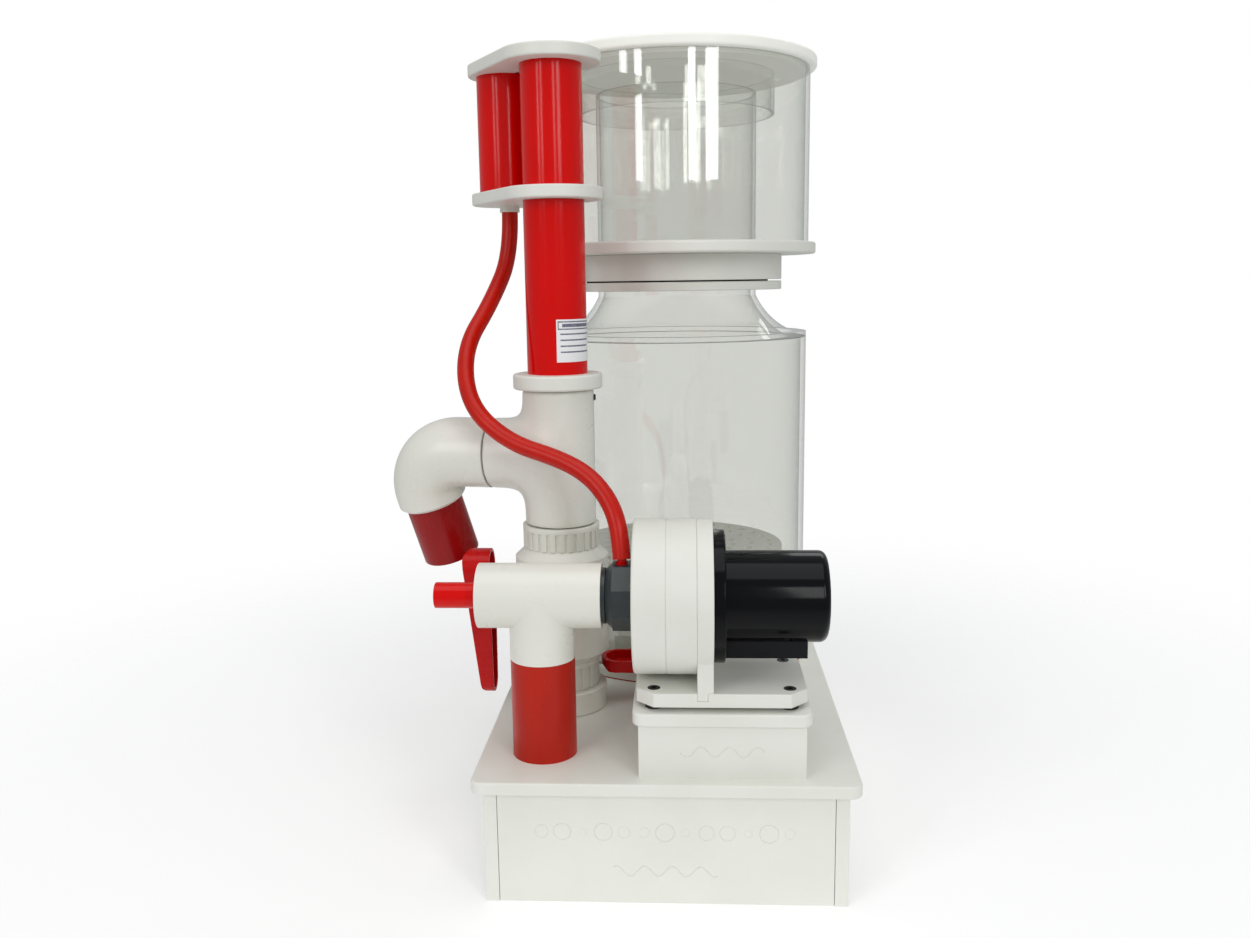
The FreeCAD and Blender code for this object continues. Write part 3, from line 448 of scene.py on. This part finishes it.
# %% A shape from a field
class Shape(Net):
    """A Geometry Nodes tree whose named inputs are its sizes."""

    def __init__(self, name, **sizes):
        super().__init__(bpy.data.node_groups.new(name, "GeometryNodeTree"))
        face = self.tree.interface
        face.new_socket("Geometry", in_out="INPUT", socket_type="NodeSocketGeometry")
        face.new_socket("Geometry", in_out="OUTPUT", socket_type="NodeSocketGeometry")
        self.sockets = {}
        for label, value in sizes.items():
            kind = "NodeSocketInt" if isinstance(value, int) else "NodeSocketFloat"
            socket = face.new_socket(label, in_out="INPUT", socket_type=kind)
            socket.default_value = value
            self.sockets[label] = socket.identifier
        self.group = self.tree.nodes.new("NodeGroupInput")

    def size(self, label):
        return Wire(self, self.group.outputs[label])

    def vector(self, operation, inputs, output="Vector"):
        return self.add("ShaderNodeVectorMath", {"operation": operation}, inputs, output)

    def moved(self, geometry, place=(0, 0, 0), turned=(0, 0, 0)):
        return self.add("GeometryNodeTransform", None, {
            "Geometry": geometry, "Translation": place, "Rotation": turned})

    def cut(self, solid, tools):
        return self.add("GeometryNodeMeshBoolean", {"operation": "DIFFERENCE", "solver": "EXACT"},
                        {"Mesh 1": solid, "Mesh 2": tools})

    def end(self, geometry, material):
        whole = self.add("GeometryNodeRealizeInstances", None, {"Geometry": geometry})
        clad = self.add("GeometryNodeSetMaterial", None, {"Geometry": whole, "Material": material})
        output = self.tree.nodes.new("NodeGroupOutput")
        self.tree.links.new(clad.socket, output.inputs[0])
        return self


def run_shape(shape, name, like, replaced, mesh=None, round_by=0, degrees=38, **sizes):
    """Runs the tree once with these sizes and keeps the result as a plain piece."""
    maker = bpy.data.objects.new("maker", mesh or bpy.data.meshes.new("start"))
    scene.collection.objects.link(maker)
    modifier = maker.modifiers.new("shape", "NODES")
    modifier.node_group = shape.tree
    for label, value in sizes.items():
        modifier[shape.sockets[label]] = value
    if round_by:
        rounded(maker, round_by, 2)
    made = plain_mesh(maker)
    smooth(made, degrees)
    made.name = name
    return settle(bpy.data.objects.new(name, made), like, replaced)


def drum(shape, centre, axis, radius, reach, soften):
    """Distance from a round bar's wall: below nought inside it. Lengths in metres."""
    place = shape.add("GeometryNodeInputPosition")
    out = shape.vector("SUBTRACT", {0: place, 1: centre})
    along = shape.vector("DOT_PRODUCT", {0: out, 1: axis}, "Value")
    shadow = shape.vector("SCALE", {"Vector": axis, "Scale": along})
    side = shape.vector("LENGTH", {0: shape.vector("SUBTRACT", {0: out, 1: shadow})}, "Value")
    end = along.maths("ABSOLUTE", along) - reach
    return side.maths("SMOOTH_MAX", side - radius, end, soften)


def field_mesh(shape, distance, low, high, cell):
    """The surface where the distance is nought, in cubes of cell metres."""
    steps = [int((b - a) / cell) for a, b in zip(low, high)]
    volume = shape.add("GeometryNodeVolumeCube", None, {
        "Density": 1 - distance * 100, "Min": low, "Max": high,
        "Resolution X": steps[0], "Resolution Y": steps[1], "Resolution Z": steps[2]})
    return shape.add("GeometryNodeVolumeToMesh", {"resolution_mode": "GRID"}, {
        "Volume": volume, "Threshold": 1.0})


def fitting(name, node, solids, bores, low, high, melt, cell):
    """A moulded fitting: round bars melted together, then bored."""
    shape = Shape(name, Melt=melt)
    body = None
    for centre, axis, radius, reach in solids:
        bar = drum(shape, centre, axis, radius, reach, 0.003)
        body = bar if body is None else body.maths("SMOOTH_MIN", body, bar, shape.size("Melt"))
    for centre, axis, radius, reach in bores:
        hole = drum(shape, centre, axis, radius, reach, 0.001)
        body = body.maths("MAXIMUM", body, hole * -1)
    mesh = field_mesh(shape, body, low, high, cell)
    place = shape.add("GeometryNodeInputPosition")
    # A blur of the places takes out the steps that the cubes leave.
    calm = shape.add("GeometryNodeBlurAttribute", {"data_type": "FLOAT_VECTOR"}, {
        "Value": place, "Iterations": 12})
    mesh = shape.add("GeometryNodeSetPosition", None, {"Geometry": mesh, "Position": calm})
    shape.end(mesh, finish_of(node))
    return run_shape(shape, name, node, [node], degrees=55)


print("field shapes ready")

# %% [markdown]
# The outlet tee stands on the column and points its branch to the left and a little back. The
# suction tee has a crisp crease where its branch meets its run, so the frame's own mesh serves.

# %% Tees
column = Vector((-0.090, -0.085, 0))
branch_way = Vector((-math.cos(math.radians(10)), math.sin(math.radians(10)), 0))
UP = Vector((0, 0, 1))
low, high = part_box("outlet_tee")
run_centre = column + UP * ((low.z + high.z) / 2)
run_reach = (high.z - low.z) / 2
branch_root = column + UP * 0.319
margin = Vector((0.004, 0.004, 0.004))
fitting("moulded_outlet_tee", "outlet_tee",
        [(run_centre, UP, 0.030, run_reach),
         (branch_root + branch_way * 0.030, branch_way, 0.030, 0.0297)],
        [(run_centre, UP, 0.0254, 0.2),
         (branch_root + branch_way * 0.05, branch_way, 0.0224, 0.05)],
        low - margin, high + margin, 0.024, 0.0011)

pump_axis = Vector((0, -0.187, 0.225))

# %% [markdown]
# Each union nut is a collar with grip ribs all round. Ribs repeat, so one rib is made and set
# round the axis by its number. The same tree makes both nuts from different sizes.

# %% Union nuts
def nut_shape():
    shape = Shape("ribbed_nut", Ribs=24, Radius=0.03, Height=0.02, Bore=0.022)
    rib_depth, collar = 0.0016, 0.004
    radius, height = shape.size("Radius"), shape.size("Height")
    core = shape.add("GeometryNodeMeshCylinder", None, {
        "Vertices": 96, "Radius": radius - rib_depth, "Depth": height})
    band = shape.add("GeometryNodeMeshCylinder", None, {
        "Vertices": 96, "Radius": radius, "Depth": collar})
    lift = shape.add("ShaderNodeCombineXYZ", None, {"Z": height * 0.5 - collar / 2})
    band = shape.moved(band, lift)
    size = shape.add("ShaderNodeCombineXYZ", None, {
        "X": 0.006, "Y": 0.0046, "Z": height - collar / 2})
    rib = shape.add("GeometryNodeMeshCube", None, {"Size": size})
    reach = shape.add("ShaderNodeCombineXYZ", None, {"X": radius - 0.0032, "Z": -0.0004})
    rib = shape.moved(rib, reach)
    spots = shape.add("GeometryNodePoints", None, {"Count": shape.size("Ribs")})
    number = shape.add("GeometryNodeInputIndex")
    step = number.maths("DIVIDE", 2 * math.pi, shape.size("Ribs"))
    turn_by = shape.add("ShaderNodeCombineXYZ", None, {"Z": number * step})
    ribs = shape.add("GeometryNodeInstanceOnPoints", None, {
        "Points": spots, "Instance": rib, "Rotation": turn_by})
    ribs = shape.add("GeometryNodeRealizeInstances", None, {"Geometry": ribs})
    solid = shape.add("GeometryNodeMeshBoolean", {"operation": "UNION", "solver": "EXACT"},
                      {1: [core, band, ribs]})
    hole = shape.add("GeometryNodeMeshCylinder", None, {
        "Vertices": 96, "Radius": shape.size("Bore"), "Depth": 0.08})
    return shape.end(shape.cut(solid, hole), finishes["white_fitting"])


def nut(shape, node, ribs):
    low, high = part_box(node)
    piece = run_shape(shape, "grip_" + node, node, [node], round_by=0.5, Ribs=ribs,
                      Radius=(high.x - low.x) / 2, Height=high.z - low.z, Bore=0.0224)
    piece.data.transform(Matrix.Translation((low + high) / 2))


nuts = nut_shape()
nut(nuts, "upper_union_nut", 26)
nut(nuts, "lower_union_nut", 22)

# %% [markdown]
# The bubble plate spreads the bubbling water evenly. Its holes sit on rings, six more on each,
# so the rings are point circles and one drill is set on every point and cut out at once.

# %% Bubble plate
def perforated_shape():
    shape = Shape("perforated_plate", Spacing=0.018, Hole=0.0045, Radius=0.104, Thickness=0.004)
    plate = shape.add("GeometryNodeMeshCylinder", None, {
        "Vertices": 160, "Radius": shape.size("Radius"), "Depth": shape.size("Thickness")})
    rings = []
    for ring in range(1, 6):
        circle = shape.add("GeometryNodeMeshCircle", None, {
            "Vertices": 6 * ring, "Radius": shape.size("Spacing") * ring})
        rings.append(shape.moved(circle, turned=(0, 0, math.radians(11 * ring))))
    points = shape.add("GeometryNodeJoinGeometry", None, {"Geometry": rings})
    drill = shape.add("GeometryNodeMeshCylinder", None, {
        "Vertices": 20, "Radius": shape.size("Hole"), "Depth": 0.02})
    drills = shape.add("GeometryNodeInstanceOnPoints", None, {"Points": points, "Instance": drill})
    drills = shape.add("GeometryNodeRealizeInstances", None, {"Geometry": drills})
    return shape.end(shape.cut(plate, drills), finishes["white_pvc"])


low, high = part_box("bubble_plate")
plate = run_shape(perforated_shape(), "perforated_bubble_plate", "bubble_plate", ["bubble_plate"])
plate.data.transform(Matrix.Translation((low + high) / 2))

# %% [markdown]
# Four socket-head screws hold the pump's base board, and four rubber dampers stand under it.
# Both repeat on the corners of a rectangle, so one tree sets any small part on four points.

# %% Screws and dampers
def at_corners(shape, part):
    grid = shape.add("GeometryNodeMeshGrid", None, {
        "Size X": shape.size("Across"), "Size Y": shape.size("Deep"),
        "Vertices X": 2, "Vertices Y": 2})
    return shape.add("GeometryNodeInstanceOnPoints", None, {"Points": grid, "Instance": part})


def screw_shape():
    shape = Shape("socket_screws", Across=0.1, Deep=0.06)
    head = shape.add("GeometryNodeMeshCylinder", None, {
        "Vertices": 40, "Radius": 0.0046, "Depth": 0.0042})
    socket = shape.add("GeometryNodeMeshCylinder", None, {
        "Vertices": 6, "Radius": 0.0023, "Depth": 0.0044})
    head = shape.cut(head, shape.moved(socket, (0, 0, 0.0020)))
    shank = shape.add("GeometryNodeMeshCylinder", None, {
        "Vertices": 20, "Radius": 0.0023, "Depth": 0.0065})
    shank = shape.moved(shank, (0, 0, -0.0053))
    part = shape.add("GeometryNodeJoinGeometry", None, {"Geometry": [head, shank]})
    return shape.end(at_corners(shape, part), finishes["black_steel"])


def damper_shape():
    shape = Shape("rubber_dampers", Across=0.1, Deep=0.06, Height=0.004)
    barrel = shape.add("GeometryNodeMeshCylinder", None, {
        "Vertices": 40, "Side Segments": 8, "Radius": 0.0065, "Depth": shape.size("Height")})
    place = shape.add("GeometryNodeInputPosition")
    height = shape.add("ShaderNodeSeparateXYZ", None, {"Vector": place}, "Z")
    share = height.maths("DIVIDE", height, shape.size("Height")) * math.pi
    swell = share.maths("COSINE", share) * 0.07 + 1
    wide = shape.add("ShaderNodeCombineXYZ", None, {"X": swell, "Y": swell, "Z": 1.0})
    barrel = shape.add("GeometryNodeSetPosition", None, {
        "Geometry": barrel, "Position": shape.vector("MULTIPLY", {0: place, 1: wide})})
    return shape.end(at_corners(shape, barrel), finishes["black_rubber"])


screw_across, screw_deep = 0.101, 0.062
low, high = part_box("pump_screws")
screws = run_shape(screw_shape(), "socket_head_screws", "pump_screws", ["pump_screws"],
                   Across=screw_across, Deep=screw_deep)
screws.data.transform(Matrix.Translation(((low.x + high.x) / 2, (low.y + high.y) / 2,
                                          high.z - 0.0021)))
low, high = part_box("pump_dampers")
dampers = run_shape(damper_shape(), "rubber_feet", "pump_dampers", ["pump_dampers"],
                    Across=screw_across, Deep=screw_deep, Height=high.z - low.z)
dampers.data.transform(Matrix.Translation((low + high) / 2))

# %% [markdown]
# The front board and the pump's pedestal carry a fine engraved ornament. A row of bubbles and a
# wave are drawn as curves, given a thin round cutter, and cut half a millimetre into the board.

# %% Engraving
def engraving_shape():
    shape = Shape("bubble_and_wave", Bubbles=14, Length=0.2, Row=0.0, Wave=0.08, Line=0.0,
                  Left=0.0, Front=0.0, Cutter=0.0006)
    cutter = shape.add("GeometryNodeCurvePrimitiveCircle", None, {
        "Resolution": 8, "Radius": shape.size("Cutter")})
    number = shape.add("GeometryNodeInputIndex")
    upright = (math.pi / 2, 0, 0)

    start = shape.add("ShaderNodeCombineXYZ", None, {
        "X": shape.size("Length") * -0.5, "Z": shape.size("Row")})
    finish = shape.add("ShaderNodeCombineXYZ", None, {
        "X": shape.size("Length") * 0.5, "Z": shape.size("Row")})
    row = shape.add("GeometryNodeMeshLine", {"mode": "END_POINTS"}, {
        "Count": shape.size("Bubbles"), "Start Location": start, "Offset": finish})
    ring = shape.add("GeometryNodeCurvePrimitiveCircle", None, {"Resolution": 28, "Radius": 0.008})
    ring = shape.add("GeometryNodeCurveToMesh", None, {
        "Curve": ring, "Profile Curve": cutter})
    ring = shape.moved(ring, turned=upright)
    phase = number * 2.4
    bubble_size = phase.maths("SINE", phase) * 0.28 + 0.62
    bubbles = shape.add("GeometryNodeInstanceOnPoints", None, {
        "Points": row, "Instance": ring, "Scale": bubble_size})
    bubbles = shape.add("GeometryNodeRealizeInstances", None, {"Geometry": bubbles})

    left = shape.add("ShaderNodeCombineXYZ", None, {
        "X": shape.size("Wave") * -0.5, "Z": shape.size("Line")})
    far = shape.add("ShaderNodeCombineXYZ", None, {
        "X": shape.size("Wave") * 0.5, "Z": shape.size("Line")})
    wave = shape.add("GeometryNodeCurvePrimitiveLine", None, {"Start": left, "End": far})
    wave = shape.add("GeometryNodeResampleCurve", None, {"Curve": wave, "Count": 160})
    place = shape.add("GeometryNodeInputPosition")
    along = shape.add("ShaderNodeSeparateXYZ", None, {"Vector": place}, "X") * 300
    rise = shape.add("ShaderNodeCombineXYZ", None, {"Z": along.maths("SINE", along) * 0.004})
    wave = shape.add("GeometryNodeSetPosition", None, {"Geometry": wave, "Offset": rise})
    wave = shape.add("GeometryNodeCurveToMesh", None, {
        "Curve": wave, "Profile Curve": cutter, "Fill Caps": True})

    tools = shape.add("GeometryNodeJoinGeometry", None, {"Geometry": [bubbles, wave]})
    shift = shape.add("ShaderNodeCombineXYZ", None, {
        "X": shape.size("Left"), "Y": shape.size("Front")})
    board = Wire(shape, shape.group.outputs["Geometry"])
    return shape.end(shape.cut(board, shape.moved(tools, shift)), finishes["white_pvc"])


engraving = engraving_shape()
low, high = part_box("base_front_panel")
run_shape(engraving, "engraved_front_board", "base_front_panel", ["base_front_panel"],
          mesh=clean_copy("base_front_panel"), Bubbles=13, Length=0.185, Row=0.057, Wave=0.078,
          Line=0.026, Left=0.0, Front=low.y)
low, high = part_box("pedestal_box")
run_shape(engraving, "engraved_pedestal", "pedestal_box", ["pedestal_box"],
          mesh=clean_copy("pedestal_box"), Bubbles=0, Length=0.01, Row=0.0, Wave=0.062,
          Line=(low.z + high.z) / 2, Left=(low.x + high.x) / 2, Front=low.y)

# %% [markdown]
# The motor is potted in a glossy black can with a well-rounded end and one filled injection
# point. A turned profile gives the can, and a small ball cutter gives the dimple.

# %% Motor can
def turned(profile, steps=128):
    """Turns (radius, height) points about Z into a closed mesh."""
    build = bmesh.new()
    points = [build.verts.new((radius, 0, height)) for radius, height in profile]
    edges = [build.edges.new(pair) for pair in zip(points, points[1:])]
    bmesh.ops.spin(build, geom=points + edges, cent=(0, 0, 0), axis=(0, 0, 1),
                   angle=2 * math.pi, steps=steps)
    bmesh.ops.remove_doubles(build, verts=build.verts, dist=1e-6)
    bmesh.ops.recalc_face_normals(build, faces=build.faces)
    mesh = bpy.data.meshes.new("turned")
    build.to_mesh(mesh)
    build.free()
    return mesh


def corner(radius, height, size, count=8):
    """Points of a rounded outer corner, from the side wall to the top face."""
    return [(radius - size + size * math.cos(a), height - size + size * math.sin(a))
            for a in (math.pi / 2 * i / count for i in range(count + 1))]


low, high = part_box("motor_can")
can_radius = (high.z - low.z) / 2
can_length = high.x - low.x
can_profile = [(0, 0), (can_radius, 0)] + corner(can_radius, can_length, 0.006) + [
    (0.024, can_length), (0.0235, can_length - 0.0006), (0.0, can_length - 0.0006)]
maker = bpy.data.objects.new("maker", turned(can_profile))
scene.collection.objects.link(maker)
along_x = Matrix.Translation((low.x, pump_axis.y, pump_axis.z)) @ Matrix.Rotation(
    math.pi / 2, 4, "Y")
maker.data.transform(along_x)
dimple_angle = math.radians(54)
dimple = Vector((0.0916, pump_axis.y - can_radius * math.cos(dimple_angle),
                 pump_axis.z - can_radius * math.sin(dimple_angle)))
ball_mesh = bpy.data.meshes.new("ball")
ball_build = bmesh.new()
bmesh.ops.create_uvsphere(ball_build, u_segments=32, v_segments=20, radius=0.0036)
ball_build.to_mesh(ball_mesh)
ball_build.free()
ball_mesh.transform(Matrix.Translation(dimple))
ball = bpy.data.objects.new("dimple_cutter", ball_mesh)
scene.collection.objects.link(ball)
cut = maker.modifiers.new("dimple", "BOOLEAN")
cut.operation = "DIFFERENCE"
cut.object = ball
can_mesh = plain_mesh(maker)
bpy.data.objects.remove(ball)
smooth(can_mesh)
can_mesh.materials.clear()
can_mesh.materials.append(finishes["black_casing"])
settle(bpy.data.objects.new("potted_motor_can", can_mesh), "motor_can", ["motor_can"])

# %% [markdown]
# A printed label on the standpipe marks the water level. It is a thin sheet bent round the pipe,
# with a framed band and four rules as its print, all drawn by the material.

# %% Level label
def label_finish(centre, angles, heights):
    made = Finish("printed_level_label")
    part = made.add("ShaderNodeSeparateXYZ", None, {"Vector": made.place}, "Z")
    height = (part - heights[0]) * (1 / (heights[1] - heights[0]))
    x = made.add("ShaderNodeSeparateXYZ", None, {"Vector": made.place}, "X") - centre.x
    y = centre.y - made.add("ShaderNodeSeparateXYZ", None, {"Vector": made.place}, "Y")
    angle = x.maths("ARCTAN2", x, y)
    across = (angle - angles[0]) * (1 / (angles[1] - angles[0]))

    def within(value, start, stop):
        return (value > start) * (1 - (value > stop))

    inner = within(across, 0.05, 0.95)
    frame_box = within(height, 0.76, 0.96) * within(across, 0.03, 0.97)
    frame_hollow = within(height, 0.79, 0.93) * within(across, 0.05, 0.95)
    ink = frame_box - frame_hollow
    ink = ink + within(height, 0.82, 0.90) * within(across, 0.12, 0.86)
    for rule, end in ((0.64, 0.93), (0.50, 0.86), (0.36, 0.80), (0.22, 0.88)):
        ink = ink + within(height, rule, rule + 0.035) * within(across, 0.08, end) * inner
    worn = made.drift(made.cloud(0.0012, 4.0), 0.72, 1.0)
    sheet = made.blend(ink * worn, rgb(236, 236, 238), rgb(58, 62, 92))
    return made.show(made.plastic({"Base Color": sheet, "Roughness": made.drift(
        made.cloud(0.01), 0.32, 0.5)}))


def bent_sheet(centre, radius, angles, heights, thick, steps=28):
    """A thin closed sheet wrapped on an upright pipe. Angles run from the front to the right."""
    build = bmesh.new()
    rings = []
    for offset in (0, thick):
        columns = []
        for i in range(steps + 1):
            a = angles[0] + (angles[1] - angles[0]) * i / steps
            reach = radius + offset
            columns.append([build.verts.new((centre.x + reach * math.sin(a),
                                             centre.y - reach * math.cos(a), z)) for z in heights])
        rings.append(columns)
    inside, outside = rings
    for i in range(steps):
        build.faces.new((outside[i][0], outside[i + 1][0], outside[i + 1][1], outside[i][1]))
        build.faces.new((inside[i][1], inside[i + 1][1], inside[i + 1][0], inside[i][0]))
        for z in (0, 1):
            build.faces.new((inside[i][z], inside[i + 1][z], outside[i + 1][z], outside[i][z]))
    for i in (0, steps):
        build.faces.new((inside[i][0], inside[i][1], outside[i][1], outside[i][0]))
    bmesh.ops.recalc_face_normals(build, faces=build.faces)
    mesh = bpy.data.meshes.new("bent_sheet")
    build.to_mesh(mesh)
    build.free()
    return mesh


label_angles = (math.radians(6), math.radians(98))
label_heights = (0.398, 0.4325)
label_radius = 0.02505    # just off the standpipe's wall
label_thick = 0.00018
label_mesh = bent_sheet(column, label_radius, label_angles, label_heights, label_thick)
label_mesh.materials.append(label_finish(column, label_angles, label_heights))
smooth(label_mesh)
settle(bpy.data.objects.new("level_label", label_mesh), "standpipe", [])

# %% [markdown]
# A small black nylon screw in the tee's right side stops the standpipe once its level is set.

# %% Stop screw
stop_profile = [(0, -0.004), (0.0026, -0.004), (0.0026, 0.0010), (0.0022, 0.0014),
                (0.0012, 0.0014), (0.0010, 0.0004), (0, 0.0004)]
stop_mesh = turned(stop_profile, 40)
stop_mesh.transform(Matrix.Translation(column + Vector((0.0300, 0, 0.367))) @ Matrix.Rotation(
    math.pi / 2, 4, "Y"))
stop_mesh.materials.append(finishes["rotor_black"])
smooth(stop_mesh)
stop = bpy.data.objects.new("nylon_stop_screw", stop_mesh)
scene.collection.objects.link(stop)
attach(stop, "root")
print("stop screw", len(stop_mesh.polygons), "faces")

# %% [markdown]
# The skimmer stands on a plain white floor that fades into the white behind it. Tall windows in
# front of it, to the left and right, give the long soft streaks on the cup and pipes. A ceiling
# panel fills from above, and a weak panel behind lifts the far edges.

# %% Stage and light
floor_mesh = bpy.data.meshes.new("floor")
floor_half = 2.0
floor_z = cad_low.z
floor_mesh.from_pydata([(x, y, floor_z) for x, y in (
    (-floor_half, -floor_half), (floor_half, -floor_half),
    (floor_half, floor_half), (-floor_half, floor_half))], [], [(0, 1, 2, 3)])
floor = bpy.data.objects.new("studio_floor", floor_mesh)
scene.collection.objects.link(floor)
pale = Finish("pale_floor")
x = pale.add("ShaderNodeSeparateXYZ", None, {"Vector": pale.place}, "X")
y = pale.add("ShaderNodeSeparateXYZ", None, {"Vector": pale.place}, "Y")
away = (x * x + y * y) ** 0.5
whole_until, gone_at = 0.25, 1.1    # metres from the middle
fade = pale.add("ShaderNodeMapRange", {"interpolation_type": "SMOOTHSTEP"}, {
    "Value": away, "From Min": whole_until, "From Max": gone_at, "To Min": 1.0, "To Max": 0.0})
floor_mesh.materials.append(pale.show(pale.plastic({
    "Base Color": pale.blend(pale.cloud(0.5), (0.93, 0.93, 0.93, 1), (0.91, 0.91, 0.91, 1)),
    "Roughness": 0.7, "Alpha": fade, "Emission Color": (1, 1, 1, 1),
    "Emission Strength": 0.16})))
floor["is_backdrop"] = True

world = bpy.data.worlds.new("studio")
scene.world = world
world.use_nodes = True
air = Net(world.node_tree)
world.node_tree.nodes.clear()
seen = air.add("ShaderNodeLightPath", output="Is Camera Ray")
backdrop = air.add("ShaderNodeBackground", None, {"Color": (1, 1, 1, 1), "Strength": 1.0})
ambient = air.add("ShaderNodeBackground", None, {"Color": (0.98, 0.99, 1, 1), "Strength": 0.45})
both = air.add("ShaderNodeMixShader", None, {0: seen, 1: ambient, 2: backdrop})
air_output = world.node_tree.nodes.new("ShaderNodeOutputWorld")
world.node_tree.links.new(both.socket, air_output.inputs["Surface"])


def panel_light(name, bearing, distance, height, width, tall, watts, aim=(0, 0, 0.4)):
    """A soft panel. Its bearing is in degrees from the front, positive to the right."""
    data = bpy.data.lights.new(name, "AREA")
    data.shape = "RECTANGLE"
    data.size = width
    data.size_y = tall
    data.energy = watts
    lamp = bpy.data.objects.new(name, data)
    scene.collection.objects.link(lamp)
    angle = math.radians(bearing)
    lamp.location = (distance * math.sin(angle), -distance * math.cos(angle), height)
    lamp.rotation_euler = (Vector(aim) - lamp.location).to_track_quat("-Z", "Y").to_euler()


window_watts_per_metre = 28    # of a window's width
for bearing, width in ((-44, 0.34), (-31, 0.34), (14, 0.34), (31, 0.62)):
    panel_light("window_%d" % bearing, bearing, distance=3.2, height=1.55, width=width,
                tall=1.5, watts=window_watts_per_metre * width)
panel_light("ceiling_panel", 0, distance=0.6, height=3.0, width=2.4, tall=2.4, watts=27)
panel_light("rear_fill", 160, distance=3.0, height=2.6, width=1.6, tall=1.0, watts=10)
scene.view_settings.view_transform = "Standard"
scene.cycles.transparent_max_bounces = 32
print(len(bpy.data.lights), "lights")

# %% [markdown]
# The last cell prints the box of the finished model beside the box of the frame, so that the two
# can be compared.

# %% Finish
low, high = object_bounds()
print("sizes", [round(v, 4) for v in high - low], [round(v, 4) for v in cad_high - cad_low])
